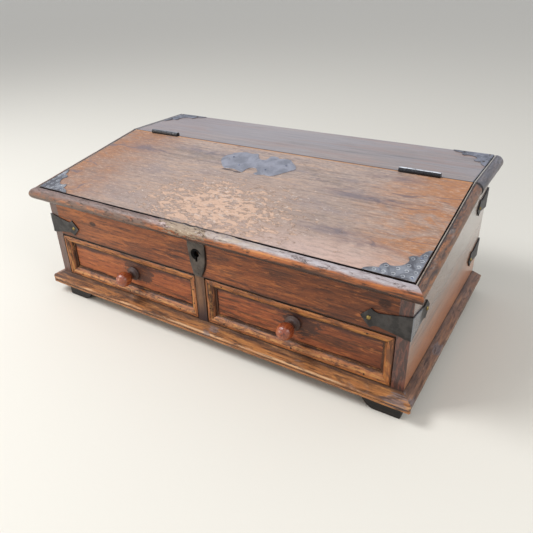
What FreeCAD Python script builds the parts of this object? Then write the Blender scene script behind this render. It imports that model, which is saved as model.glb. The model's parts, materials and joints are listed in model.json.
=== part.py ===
import FreeCAD, Part
import math
import os

# Slant-lidded letter box with two drawers, in millimetres.
# X runs across the box, Y from front to back, Z up. The origin is the middle of the floor area it covers.

# ---- carcass boards ----
case_width = 600.0
case_depth = 341.0
front_rim_height = 138.2
back_rim_height = 175.3
seam_depth = 211.0
side_thickness = 16.0
front_thickness = 16.0
back_thickness = 12.0
bottom_thickness = 14.0
floor_thickness = 9.0
floor_housing = 5.0
floor_rise = 3.0
divider_thickness = 12.0
stile_width = 16.0
stile_depth = 22.0

# ---- lid, fixed top and their half-round nosing ----
lid_thickness = 19.5
lid_overhang = 7.3
rim_gap = 0.2
seam_gap = 1.2
top_back_overhang = 4.0
nosing_projection = 13.8
nosing_groove_width = 1.2
nosing_groove_depth = 6.0
nosing_bead_width = 2.2
nosing_bead_drop = 0.7

# ---- base moulding ----
base_projection_front = 20.0
base_projection_side = 16.0
base_fascia_setback = 1.0
base_fascia_height = 4.4
base_quirk_depth = 1.4
base_quirk_height = 0.9
base_nose_height = 4.6
base_edge_bevel = 0.9
base_corner_radius_left = 15.0
base_corner_radius_right = 6.0

# ---- feet ----
foot_height = 19.0
foot_length = 52.0
foot_tread_length = 36.0
foot_depth = 50.0
foot_front_reach = 11.0
foot_back_inset = 2.0
foot_bevel = 1.5
foot_sweep_height = 8.0
foot_inset_left = 36.0
foot_inset_right = 13.0

# ---- drawers ----
drawer_opening_height = 73.8
drawer_side_gap = 1.0
drawer_top_gap = 1.8
drawer_bottom_gap = 0.3
drawer_rear_space = 29.0
drawer_front_thickness = 16.0
drawer_lap = 10.0
drawer_side_thickness = 9.0
drawer_side_height = 60.0
drawer_panel_thickness = 5.0
drawer_panel_housing = 4.0
drawer_panel_rise = 6.0
frame_width = 15.0
frame_height = 8.0
frame_flat = 4.2
frame_quirk = 1.1
frame_fillet_width = 2.6
frame_fillet_height = 1.4
frame_curve_foot = 1.0
frame_swell_across = 0.62
frame_swell_up = 0.70
stop_length = 12.0
stop_width = 24.0
stop_height = 10.0
stop_gap = 0.3
stop_inset = 50.0

# ---- knobs ----
knob_head_radius = 12.0
knob_head_centre = 22.5
knob_pip_radius = 1.5
knob_neck_radius = 6.0
knob_collar_radius = 12.0
knob_collar_height = 3.6
knob_collar_round = 1.0
knob_cove_width = 1.2
knob_cove_height = 0.9
knob_spigot_radius = 4.5
knob_left_off_middle = 8.0
knob_left_height = 36.5
knob_right_off_middle = 0.0
knob_right_height = 42.0

# ---- iron corner straps and their nails ----
strap_thickness = 2.0
strap_height = 32.4
strap_neck_height = 17.8
strap_neck_reach = 39.5
strap_tip_height = 26.6
strap_tip_start = 48.0
strap_reach = 60.5
strap_nail_reach = 50.0
front_strap_above_drawers = 17.5
rear_strap_below_rim = 45.8
rear_lower_strap_height = 44.0
nail_head_radius = 2.9
nail_head_height = 1.6
nail_shank_radius = 1.1
nail_length = 11.0
dome_middle_out = 0.75
dome_middle_up = 0.72

# ---- thin ornament plates on the lid and top ----
plate_thickness = 1.0
plate_inset = 0.6
plate_arm = 60.0
plate_arm_tip = 4.5
plate_lobe_reach = 50.0
plate_lobe_width = 14.5
plate_cusp_reach = 41.5
plate_cusp_width = 18.0
plate_hollow = 25.0
plate_swell_along = 1.0
plate_swell_across = 1.5
plate_scallop = 1.0
plate_pin_inset = 4.5
plate_pin_from_edge = 6.3
crest_centre_x = -6.5
crest_from_seam = 46.0
crest_half_width = 66.0
crest_half_depth = 30.0
crest_notch_back = 13.0
crest_notch_front = 15.0
crest_pin_reach = 47.5
crest_pin_offset = 10.5
# The crest plate's right half: the middle and the end of each arc, in half widths and half depths.
crest_lobes = (
    ((0.05, 0.86), (0.20, 1.00)),
    ((0.50, 1.00), (0.76, 0.86)),
    ((0.93, 0.60), (1.00, 0.05)),
    ((0.97, -0.30), (0.78, -0.50)),
    ((0.66, -0.88), (0.44, -0.92)),
    ((0.30, -1.00), (0.13, -0.90)),
)
pin_head_radius = 1.7
pin_head_height = 0.7
pin_shank_radius = 0.8
pin_length = 8.0

# ---- lock, keyhole and escutcheon ----
keyhole_below_rim = 29.2
keyhole_radius = 4.8
keyhole_slot_width = 3.8
keyhole_slot_drop = 11.0
escutcheon_thickness = 2.5
escutcheon_below_rim = 4.2
escutcheon_height = 59.8
escutcheon_shoulder_drop = 7.2
escutcheon_side_swell = 1.6
escutcheon_top_half_width = 12.8
escutcheon_widest = 14.6
escutcheon_foot_half_width = 5.8
escutcheon_bevel = 0.6
escutcheon_pin_inset = 6.0
lock_plate_ear = 11.0
lock_plate_thickness = 2.0
lock_box_depth = 18.0
lock_wall = 1.5
lock_top_below_rim = 3.5
lock_height = 46.0
lock_screw_inset = 9.2
bolt_height = 5.0
bolt_thickness = 4.0
bolt_length = 27.0
bolt_throw = 8.0
bolt_end_room = 9.1
bolt_below_top = 9.5
bolt_tail_width = 8.0
bolt_tail_length = 11.0
link_loop_thickness = 3.0
link_loop_width = 7.6
link_loop_from_lock_face = 6.6
link_loop_x = 9.0
link_loop_wall = 1.2
link_play = 0.6
link_swing = 6.0
link_plate_width = 54.0
link_plate_depth = 18.0
link_plate_thickness = 1.6
link_screw_inset = 7.5

# ---- butt hinges ----
hinge_inset = 71.0
hinge_length = 58.0
hinge_knuckles = 5
hinge_knuckle_gap = 0.4
hinge_barrel_radius = 4.0
hinge_axis_rise = 2.0
hinge_leaf_thickness = 1.6
hinge_leaf_height = 15.0
hinge_leaf_gap = 0.1
hinge_pin_radius = 1.6
hinge_running_gap = 0.05
hinge_notch_gap = 0.4
screw_head_radius = 2.9
screw_shank_radius = 1.4
screw_countersink = 1.4
screw_length = 11.0
hinge_screws = 3

# ---- worked out from the sizes above ----
half_width = case_width / 2
inner_half_width = half_width - side_thickness
case_bottom = foot_height + bottom_thickness
front_rim = case_bottom + front_rim_height
back_rim = case_bottom + back_rim_height
slope = math.atan2(back_rim_height - front_rim_height, seam_depth)
top_thickness = lid_thickness / math.cos(slope)
opening_top = case_bottom + drawer_opening_height
floor_underside = opening_top + floor_rise
floor_top = floor_underside + floor_thickness
drawer_length = case_depth - back_thickness - drawer_rear_space
lock_box_width = 2 * (link_loop_x - link_play + bolt_throw + bolt_end_room + lock_wall)
lock_plate_width = lock_box_width + 2 * lock_plate_ear
quarter_round_lean = 1 - math.sqrt(0.5)
knob_length = knob_head_centre + math.sqrt(knob_head_radius ** 2 - knob_pip_radius ** 2)
front_reach = max(
    knob_length - frame_height,
    base_projection_front,
    (lid_overhang + nosing_projection) * math.cos(slope) + lid_thickness * math.sin(slope),
)
back_reach = case_depth + top_back_overhang
front = -(front_reach + back_reach) / 2 + front_reach
back = front + case_depth
seam = front + seam_depth
top_surface = back_rim + top_thickness
hinge_axis_height = top_surface + hinge_axis_rise

X = FreeCAD.Vector(1, 0, 0)
Y = FreeCAD.Vector(0, 1, 0)
Z = FreeCAD.Vector(0, 0, 1)
ORIGIN = FreeCAD.Vector(0, 0, 0)


# ---- small shape tools ----
def block(x0, x1, y0, y1, z0, z1):
    return Part.makeBox(x1 - x0, y1 - y0, z1 - z0, FreeCAD.Vector(x0, y0, z0))


def face_from(place, start, moves):
    """A closed flat face. place turns (u, w) into a point; a move is an end, or (through, end) for an arc."""
    edges = []
    here = start
    for move in moves:
        if isinstance(move[0], tuple):
            through, end = move
            edges.append(Part.Arc(place(*here), place(*through), place(*end)).toShape())
        else:
            end = move
            edges.append(Part.LineSegment(place(*here), place(*end)).toShape())
        here = end
    if here != start:
        edges.append(Part.LineSegment(place(*here), place(*start)).toShape())
    return Part.Face(Part.Wire(edges))


def across(x):
    """Points given as (y, z) on the upright plane at x."""
    return lambda u, w: FreeCAD.Vector(x, u, w)


def upright(y):
    """Points given as (x, z) on the plane facing the front at y."""
    return lambda u, w: FreeCAD.Vector(u, y, w)


def level(z):
    """Points given as (x, y) on the level plane at z."""
    return lambda u, w: FreeCAD.Vector(u, w, z)


def rod(centre, direction, radius, length):
    return Part.makeCylinder(radius, length, centre, direction)


def mirrored_x(shape):
    return shape.mirror(ORIGIN, X)


def mirrored_in_case_depth(shape):
    return shape.mirror(FreeCAD.Vector(0, (front + back) / 2, 0), Y)


def group(shapes):
    return Part.makeCompound(shapes)


def tilted(shape):
    """Moves a shape drawn on a level lid, front rim line at the origin, onto the sloping rim."""
    moved = shape.copy()
    moved.rotate(ORIGIN, X, math.degrees(slope))
    moved.translate(FreeCAD.Vector(0, front, front_rim))
    return moved


def rim_height(y):
    return front_rim + (y - front) * math.tan(slope)


# ---- fasteners ----
def fastener(head, direction, head_radius, head_height, shank_radius, length):
    """A domed nail: the head stands on the surface at head, and the shank runs on along direction."""
    place = lambda u, w: FreeCAD.Vector(u, 0, -w)
    dome_side = head_radius * dome_middle_out, head_height * dome_middle_up
    half = face_from(place, (0, head_height), [(dome_side, (head_radius, 0)), (shank_radius, 0),
                                               (shank_radius, -length), (0, -length)])
    nail = half.revolve(ORIGIN, Z, 360)
    nail.rotate(ORIGIN, X, 180)
    nail.Placement = FreeCAD.Placement(head, FreeCAD.Rotation(-Z, direction)).multiply(nail.Placement)
    return nail


def domed_nail(head, direction):
    return fastener(head, direction, nail_head_radius, nail_head_height, nail_shank_radius, nail_length)


def plate_pin(head, direction):
    return fastener(head, direction, pin_head_radius, pin_head_height, pin_shank_radius, pin_length)


def countersunk_screw(head, direction):
    """A flat-headed screw: head centre on the surface, and the shank along direction."""
    cone = Part.makeCone(screw_head_radius, screw_shank_radius, screw_countersink, head, direction)
    shank = rod(head, direction, screw_shank_radius, screw_length)
    return cone.fuse(shank).removeSplitter()


# ---- carcass ----
def side_board(fasteners):
    """The right side: level under the fixed top, sloping to the front, housed for the floor."""
    outline = [(back, case_bottom), (back, back_rim), (seam, back_rim), (front, front_rim)]
    board = face_from(across(inner_half_width), (front, case_bottom), outline).extrude(X * side_thickness)
    housing = block(inner_half_width, inner_half_width + floor_housing,
                    front + front_thickness - floor_housing, back - back_thickness + floor_housing,
                    floor_underside, floor_top)
    return board.cut(housing).cut(fasteners)


def front_board(fasteners):
    outline = [(front + front_thickness, opening_top),
               (front + front_thickness, rim_height(front + front_thickness)), (front, front_rim)]
    board = face_from(across(-inner_half_width), (front, opening_top), outline)
    board = board.extrude(X * 2 * inner_half_width)
    return board.cut(compartment_floor()).cut(lock_plate_blank()).cut(keyhole_cutter()).cut(fasteners)


def back_board(fasteners):
    board = block(-inner_half_width, inner_half_width, back - back_thickness, back, case_bottom, back_rim)
    return board.cut(compartment_floor()).cut(fasteners)


def bottom_board():
    return block(-half_width, half_width, front, back, foot_height, case_bottom)


def compartment_floor():
    reach = inner_half_width + floor_housing
    return block(-reach, reach, front + front_thickness - floor_housing,
                 back - back_thickness + floor_housing, floor_underside, floor_top)


def centre_stile():
    return block(-stile_width / 2, stile_width / 2, front, front + stile_depth, case_bottom, opening_top)


def drawer_divider():
    return block(-divider_thickness / 2, divider_thickness / 2, front + stile_depth, back - back_thickness,
                 case_bottom, floor_underside)


def drawer_stops():
    """Blocks on the bottom board that the backs of the drawers come up against."""
    start = front + drawer_length + stop_gap
    blocks = []
    for middle in (-inner_half_width + stop_inset, -stop_inset, stop_inset, inner_half_width - stop_inset):
        blocks.append(block(middle - stop_width / 2, middle + stop_width / 2, start, start + stop_length,
                            case_bottom, case_bottom + stop_height))
    return group(blocks)


# ---- base moulding and feet ----
def base_section(projection):
    """Outline of the moulding: (distance out from the board, height above its lower edge)."""
    fascia = projection - base_fascia_setback
    quirk = fascia - base_quirk_depth
    nose_foot = base_fascia_height + base_quirk_height
    nose_top = nose_foot + base_nose_height
    return [(fascia - base_edge_bevel, 0), (fascia, base_edge_bevel), (fascia, base_fascia_height),
            (quirk, nose_foot),
            ((projection, nose_foot + base_nose_height / 2), (quirk, nose_top)),
            (0, bottom_thickness)]


def base_plan():
    """The base seen from above, its front corners worn round, as a tall cutter."""
    left = -half_width - base_projection_side
    right = half_width + base_projection_side
    near = front - base_projection_front
    turn_left = base_corner_radius_left
    turn_right = base_corner_radius_right
    inset_left = turn_left * quarter_round_lean
    inset_right = turn_right * quarter_round_lean
    plan = face_from(level(0), (left, back), [
        (left, near + turn_left),
        ((left + inset_left, near + inset_left), (left + turn_left, near)),
        (right - turn_right, near),
        ((right - inset_right, near + inset_right), (right, near + turn_right)),
        (right, back)])
    return plan.extrude(Z * (case_bottom + bottom_thickness))


def mitre_wedge(sign):
    """Everything on the side moulding's half of the front corner mitre, for x of the given sign."""
    far_x = half_width + 2 * base_projection_side
    far_y = front - 2 * base_projection_front
    plan = face_from(level(0), (sign * half_width, front),
                     [(sign * far_x, far_y), (sign * far_x, back), (sign * half_width, back)])
    return plan.extrude(Z * (case_bottom + bottom_thickness))


def base_moulding_front():
    place = lambda u, w: FreeCAD.Vector(-half_width - base_projection_side, front - u, foot_height + w)
    length = case_width + 2 * base_projection_side
    strip = face_from(place, (0, 0), base_section(base_projection_front)).extrude(X * length)
    return strip.cut(mitre_wedge(1)).cut(mitre_wedge(-1)).common(base_plan())


def base_moulding_side(sign):
    near = front - base_projection_front
    place = lambda u, w: FreeCAD.Vector(sign * (half_width + u), near, foot_height + w)
    strip = face_from(place, (0, 0), base_section(base_projection_side)).extrude(Y * (back - near))
    return strip.common(mitre_wedge(sign)).common(base_plan())


def foot(sign, inset, face_y):
    """A low bracket foot, its face at face_y and its end set in from the base moulding's edge."""
    outer_x = half_width + base_projection_side - inset
    lean = (foot_length - foot_tread_length) * quarter_round_lean
    place = lambda u, w: FreeCAD.Vector(sign * (outer_x - u), face_y, w)
    profile = face_from(place, (foot_bevel, 0), [
        (foot_tread_length, 0),
        ((foot_length - lean, foot_sweep_height), (foot_length, foot_height)),
        (0, foot_height), (0, foot_bevel)])
    return profile.extrude(Y * foot_depth)


# ---- fixed top ----
def nosing_section(thickness, beaded):
    """Half-round nosing: (distance out from the panel edge, height above the underside)."""
    radius = thickness / 2
    flat_end = nosing_projection - radius
    groove = nosing_groove_width
    section = [(flat_end, 0), ((nosing_projection, radius), (flat_end, thickness))]
    if beaded:
        bead_end = groove + nosing_bead_width
        bead_foot = thickness - nosing_bead_drop
        section += [(bead_end, bead_foot), ((groove + nosing_bead_width / 2, thickness), (groove, bead_foot))]
    else:
        section += [(groove, thickness)]
    return section + [(groove, thickness - nosing_groove_depth), (0, thickness - nosing_groove_depth)]


def top_board(fasteners):
    board = block(-half_width, half_width, seam + seam_gap / 2, back + top_back_overhang,
                  back_rim, top_surface)
    return board.cut(hinge_notches()).cut(hinge_pockets(1)).cut(fasteners)


def top_moulding():
    """The nosing on the right end of the fixed top."""
    place = lambda u, w: FreeCAD.Vector(half_width + u, seam + seam_gap / 2, back_rim + w)
    length = back + top_back_overhang - seam - seam_gap / 2
    return face_from(place, (0, 0), nosing_section(top_thickness, True)).extrude(Y * length)


# ---- lid ----
def lid_length():
    return seam_depth / math.cos(slope) + lid_thickness


def behind_seam():
    """Everything behind the lid's rear edge, as a cutter."""
    reach = half_width + 2 * nosing_projection
    rear = seam - seam_gap / 2
    return block(-reach, reach, rear, rear + lid_length(), case_bottom, top_surface + lid_length())


def lid_panel(fasteners):
    panel = block(-half_width, half_width, -lid_overhang, lid_length(), rim_gap, lid_thickness)
    panel = tilted(panel).cut(behind_seam())
    return panel.cut(hinge_notches()).cut(hinge_pockets(-1)).cut(fasteners)


def lid_corner_wedge():
    """The side nosing's half of the lid's right front mitre, drawn on the level lid."""
    reach = 2 * nosing_projection
    plan = face_from(level(-lid_thickness), (half_width, -lid_overhang),
                     [(half_width + reach, -lid_overhang - reach), (half_width + reach, lid_length()),
                      (half_width, lid_length())])
    return plan.extrude(Z * 3 * lid_thickness)


def lid_moulding_front():
    start = -half_width - nosing_projection
    place = lambda u, w: FreeCAD.Vector(start, -lid_overhang - u, w)
    strip = face_from(place, (0, 0), nosing_section(lid_thickness, False))
    strip = strip.extrude(X * 2 * (half_width + nosing_projection))
    wedge = lid_corner_wedge()
    return tilted(strip.cut(wedge).cut(mirrored_x(wedge)))


def lid_moulding_side():
    """The nosing on the lid's right edge."""
    start = -lid_overhang - nosing_projection
    place = lambda u, w: FreeCAD.Vector(half_width + u, start, w)
    strip = face_from(place, (0, 0), nosing_section(lid_thickness, True)).extrude(Y * (lid_length() - start))
    return tilted(strip.common(lid_corner_wedge())).cut(behind_seam())


# ---- ornament plates ----
def corner_plate_outline(place):
    """A corner plate, its corner at (0, 0) and its arms along u and w."""
    arm = plate_arm
    tip = plate_arm_tip
    lobe = plate_lobe_reach, plate_lobe_width
    cusp = plate_cusp_reach, plate_cusp_width
    swell = (arm + lobe[0]) / 2 + plate_swell_along, (tip + lobe[1]) / 2 + plate_swell_across
    dip = (lobe[0] + cusp[0]) / 2, lobe[1] - plate_scallop
    hollow = plate_hollow, plate_hollow
    flip = lambda point: (point[1], point[0])
    moves = [(arm, 0), (arm, tip), (swell, lobe), (dip, cusp), (hollow, flip(cusp)),
             (flip(dip), flip(lobe)), (flip(swell), (tip, arm)), (0, arm)]
    return face_from(place, (0, 0), moves)


def lid_corner_plate():
    """The plate on the lid's right front corner, drawn on the level lid."""
    place = lambda u, w: FreeCAD.Vector(half_width - plate_inset - u, -lid_overhang + plate_inset + w,
                                        lid_thickness)
    return corner_plate_outline(place).extrude(Z * plate_thickness)


def top_corner_plate():
    """The plate on the fixed top's right rear corner."""
    rear = back + top_back_overhang - plate_inset
    place = lambda u, w: FreeCAD.Vector(half_width - plate_inset - u, rear - w, top_surface)
    return corner_plate_outline(place).extrude(Z * plate_thickness)


def corner_plate_pin_points():
    """Pin places on a corner plate, as (along u, along w)."""
    return [(plate_pin_inset, plate_pin_inset), (plate_cusp_reach, plate_pin_from_edge),
            (plate_pin_from_edge, plate_cusp_reach)]


def crest_centre_y():
    return (seam_depth - crest_from_seam) / math.cos(slope)


def crest_plate():
    """The two-lobed plate in the middle of the lid, near the seam, drawn on the level lid."""
    place = lambda u, v: FreeCAD.Vector(crest_centre_x + u, crest_centre_y() + v, lid_thickness)
    size = lambda point: (point[0] * crest_half_width, point[1] * crest_half_depth)
    lobe = [(size(through), size(end)) for through, end in crest_lobes] + [(0, -crest_notch_front)]
    half = face_from(place, (0, crest_notch_back), lobe).extrude(Z * plate_thickness)
    other = half.mirror(FreeCAD.Vector(crest_centre_x, 0, 0), X)
    return half.fuse(other).removeSplitter()


def crest_pin_points():
    places = ((crest_pin_reach, crest_pin_offset), (crest_pin_reach / 2, -crest_pin_offset))
    return [(crest_centre_x + sign * u, crest_centre_y() + v) for u, v in places for sign in (1, -1)]


def lid_plate_pins():
    heads = []
    for u, w in corner_plate_pin_points():
        for sign in (1, -1):
            heads.append((sign * (half_width - plate_inset - u), -lid_overhang + plate_inset + w))
    heads += crest_pin_points()
    surface = lid_thickness + plate_thickness
    return group([tilted(plate_pin(FreeCAD.Vector(x, y, surface), -Z)) for x, y in heads])


def top_plate_pins():
    rear = back + top_back_overhang - plate_inset
    surface = top_surface + plate_thickness
    pins = []
    for u, w in corner_plate_pin_points():
        for sign in (1, -1):
            head = FreeCAD.Vector(sign * (half_width - plate_inset - u), rear - w, surface)
            pins.append(plate_pin(head, -Z))
    return pins


# ---- corner straps ----
def strap_leg(place):
    """One leg of a strap: (distance from the corner, height from its middle line)."""
    corner = strap_height / 2
    neck = strap_neck_height / 2
    tip = strap_tip_height / 2
    return face_from(place, (-strap_thickness, -corner), [
        (strap_neck_reach, -neck), (strap_tip_start, -tip), (strap_reach, 0),
        (strap_tip_start, tip), (strap_neck_reach, neck), (-strap_thickness, corner)])


def corner_strap(height):
    """A strap round the right front corner of the case, its middle line at height above the case bottom."""
    middle = case_bottom + height
    on_front = strap_leg(lambda u, w: FreeCAD.Vector(half_width - u, front, middle + w))
    on_side = strap_leg(lambda u, w: FreeCAD.Vector(half_width, front + u, middle + w))
    return on_front.extrude(-Y * strap_thickness).fuse(on_side.extrude(X * strap_thickness)).removeSplitter()


def front_strap_height():
    return drawer_opening_height + front_strap_above_drawers


def rear_strap_heights():
    return back_rim_height - rear_strap_below_rim, rear_lower_strap_height


def strap_nails(height):
    middle = case_bottom + height
    on_front = FreeCAD.Vector(half_width - strap_nail_reach, front - strap_thickness, middle)
    on_side = FreeCAD.Vector(half_width + strap_thickness, front + strap_nail_reach, middle)
    return [domed_nail(on_front, Y), domed_nail(on_side, -X)]


def all_strap_nails():
    nails = strap_nails(front_strap_height())
    for height in rear_strap_heights():
        nails += [mirrored_in_case_depth(nail) for nail in strap_nails(height)]
    return nails + [mirrored_x(nail) for nail in nails]


# ---- lock ----
lock_face = front + front_thickness
lock_top = rim_height(lock_face) - lock_top_below_rim
link_loop_near = lock_face + link_loop_from_lock_face
bolt_middle_y = link_loop_near + link_loop_width / 2
bolt_foot = lock_top - bolt_below_top
bolt_top = bolt_foot + bolt_height
keyhole_centre = front_rim - keyhole_below_rim


def keyhole_cutter():
    """The keyhole, as long as everything that it passes through."""
    centre = keyhole_centre
    near = front - 2 * escutcheon_thickness
    length = front_thickness + 2 * escutcheon_thickness
    bore = rod(FreeCAD.Vector(0, near, centre), Y, keyhole_radius, length)
    slot = block(-keyhole_slot_width / 2, keyhole_slot_width / 2, near, near + length,
                 centre - keyhole_slot_drop, centre)
    return bore.fuse(slot).removeSplitter()


def escutcheon(fasteners):
    """A shield-shaped plate, widest above its middle, over the keyhole."""
    top = front_rim - escutcheon_below_rim
    foot_z = top - escutcheon_height
    high = top - escutcheon_shoulder_drop
    middle = (high + foot_z) / 2
    waist = (escutcheon_widest + escutcheon_foot_half_width) / 2 + escutcheon_side_swell
    outline = [(escutcheon_foot_half_width, foot_z), ((waist, middle), (escutcheon_widest, high)),
               (escutcheon_top_half_width, top), (-escutcheon_top_half_width, top),
               (-escutcheon_widest, high), ((-waist, middle), (-escutcheon_foot_half_width, foot_z))]
    plate = face_from(upright(front), (-escutcheon_foot_half_width, foot_z), outline)
    plate = plate.extrude(-Y * escutcheon_thickness)
    rim = [edge for edge in plate.Edges if edge.BoundBox.YMax < front - escutcheon_thickness / 2]
    return plate.makeChamfer(escutcheon_bevel, rim).cut(keyhole_cutter()).cut(fasteners)


def escutcheon_pins():
    top = front_rim - escutcheon_below_rim
    return [plate_pin(FreeCAD.Vector(0, front - escutcheon_thickness, height), Y)
            for height in (top - escutcheon_pin_inset, top - escutcheon_height + escutcheon_pin_inset)]


def lock_plate_blank():
    """The plate that is let into the inner face of the front board, open to its top edge."""
    return block(-lock_plate_width / 2, lock_plate_width / 2, lock_face - lock_plate_thickness, lock_face,
                 lock_top - lock_height, rim_height(lock_face))


def lock_case(fasteners):
    """The lock's plate and box: bolt inside, a slot for the lid's loop in its top."""
    plate = lock_plate_blank().common(block(-case_width, case_width, front, back, case_bottom, lock_top))
    half_box = lock_box_width / 2
    box = block(-half_box, half_box, lock_face, lock_face + lock_box_depth, lock_top - lock_height, lock_top)
    hollow = block(-half_box + lock_wall, half_box - lock_wall, lock_face,
                   lock_face + lock_box_depth - lock_wall,
                   lock_top - lock_height + lock_wall, lock_top - lock_wall)
    slot = block(link_loop_x - link_play, link_loop_x + link_loop_thickness + link_play,
                 link_loop_near - link_swing, link_loop_near + link_loop_width + link_play,
                 lock_top - 2 * lock_wall, lock_top + lock_wall)
    return plate.fuse(box.cut(hollow)).removeSplitter().cut(slot).cut(keyhole_cutter()).cut(fasteners)


def lock_bolt():
    """The bolt, drawn back, with the tail that the key turns against."""
    near = bolt_middle_y - bolt_thickness / 2
    nose = link_loop_x - link_play
    bar = block(nose - bolt_length, nose, near, near + bolt_thickness, bolt_foot, bolt_top)
    tail_end = nose - bolt_length / 2
    tail = block(tail_end - bolt_tail_width, tail_end, near, near + bolt_thickness,
                 bolt_foot - bolt_tail_length, bolt_foot)
    return bar.fuse(tail).removeSplitter()


def lock_screws():
    """Four screws through the plate's ends, either side of the box."""
    middle_x = (lock_plate_width + lock_box_width) / 4
    heights = (lock_top - lock_height + lock_screw_inset, lock_top - lock_screw_inset)
    return [countersunk_screw(FreeCAD.Vector(sign * middle_x, lock_face, z), -Y)
            for sign in (1, -1) for z in heights]


def link_level_y():
    """The middle of the loop, measured along the level lid from the case's front."""
    return (bolt_middle_y - front) / math.cos(slope)


def link_plate_flat():
    """The flat of the link plate, which also cuts its bed in the lid's underside."""
    return tilted(block(link_loop_x - link_plate_width / 2, link_loop_x + link_plate_width / 2,
                        link_level_y() - link_plate_depth / 2, link_level_y() + link_plate_depth / 2,
                        rim_gap, rim_gap + link_plate_thickness))


def link_plate(fasteners):
    """The plate let into the lid's underside, and the loop that drops into the lock."""
    loop = block(link_loop_x, link_loop_x + link_loop_thickness,
                 link_loop_near, link_loop_near + link_loop_width,
                 bolt_foot - link_play - link_loop_wall, rim_height(link_loop_near) + link_plate_thickness)
    eye_reach = bolt_thickness / 2 + link_play
    eye = block(link_loop_x, link_loop_x + link_loop_thickness,
                bolt_middle_y - eye_reach, bolt_middle_y + eye_reach,
                bolt_foot - link_play, bolt_top + link_play)
    return link_plate_flat().fuse(loop.cut(eye)).removeSplitter().cut(fasteners)


def link_screws():
    reach = link_plate_width / 2 - link_screw_inset
    return [tilted(countersunk_screw(FreeCAD.Vector(link_loop_x + sign * reach, link_level_y(), rim_gap), Z))
            for sign in (1, -1)]


# ---- hinges ----
def hinge_start(sign):
    return sign * (half_width - hinge_inset) - hinge_length / 2


def knuckle_spans(first):
    """The x spans of every second knuckle, counted from the given one, from the barrel's left end."""
    pitch = (hinge_length + hinge_knuckle_gap) / hinge_knuckles
    return [(index * pitch, (index + 1) * pitch - hinge_knuckle_gap)
            for index in range(first, hinge_knuckles, 2)]


def hinge_axis_point(x):
    return FreeCAD.Vector(x, seam, hinge_axis_height)


def hinge_notches():
    """Room for both barrels in the edges at the seam."""
    length = hinge_length + 2 * hinge_notch_gap
    return group([rod(hinge_axis_point(hinge_start(sign) - hinge_notch_gap), X,
                      hinge_barrel_radius + hinge_notch_gap, length) for sign in (1, -1)])


def leaf_box(sign, side):
    """One leaf's flat: side is 1 behind the seam, on the fixed top, and -1 on the lid."""
    inner = seam + side * hinge_leaf_gap
    outer = inner + side * hinge_leaf_thickness
    start = hinge_start(sign)
    return block(start, start + hinge_length, min(inner, outer), max(inner, outer),
                 top_surface - hinge_leaf_height, hinge_axis_height)


def hinge_pockets(side):
    """The beds that the leaves of one side are let into, cut from the seam inwards."""
    return group([leaf_box(sign, side) for sign in (1, -1)])


def hinge_leaf(sign, side, fasteners):
    """A leaf with its knuckles: the fixed leaf has the end knuckles, the lid's leaf those between."""
    own_first = 0 if side > 0 else 1
    bore = hinge_pin_radius if side > 0 else hinge_pin_radius + hinge_running_gap
    start = hinge_start(sign)
    leaf = leaf_box(sign, side)
    for low, high in knuckle_spans(1 - own_first):
        room = rod(hinge_axis_point(start + low - hinge_knuckle_gap), X,
                   hinge_barrel_radius + hinge_notch_gap, high - low + 2 * hinge_knuckle_gap)
        leaf = leaf.cut(room)
    knuckles = [rod(hinge_axis_point(start + low), X, hinge_barrel_radius, high - low)
                for low, high in knuckle_spans(own_first)]
    leaf = leaf.fuse(knuckles).removeSplitter()
    return leaf.cut(rod(hinge_axis_point(start), X, bore, hinge_length)).cut(fasteners)


def hinge_pin(sign):
    return rod(hinge_axis_point(hinge_start(sign)), X, hinge_pin_radius, hinge_length)


def hinge_leaf_screws(side):
    """Screws through one side's leaves, heads at the seam."""
    z = (top_surface - hinge_leaf_height + hinge_axis_height - hinge_barrel_radius) / 2
    screws = []
    for sign in (1, -1):
        for index in range(hinge_screws):
            x = hinge_start(sign) + hinge_length * (index + 0.5) / hinge_screws
            screws.append(countersunk_screw(FreeCAD.Vector(x, seam + side * hinge_leaf_gap, z), Y * side))
    return screws


# ---- drawers ----
drawer_width = inner_half_width - stile_width / 2 - 2 * drawer_side_gap
drawer_foot = case_bottom + drawer_bottom_gap
drawer_height = drawer_opening_height - drawer_top_gap - drawer_bottom_gap
drawer_back = front + drawer_length
drawer_face = front + frame_height


def drawer_span(sign, inset):
    """The drawer's x range, drawn in by inset at both ends."""
    near = stile_width / 2 + drawer_side_gap + inset
    far = near + drawer_width - 2 * inset
    return (near, far) if sign > 0 else (-far, -near)


def drawer_front(sign, turned_knob):
    low, high = drawer_span(sign, 0)
    rear = drawer_face + drawer_front_thickness
    board = block(low, high, drawer_face, rear, drawer_foot, drawer_foot + drawer_height)
    for side in drawer_sides(sign).Solids:
        board = board.cut(side)
    return board.cut(drawer_bottom(sign)).cut(turned_knob)


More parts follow.
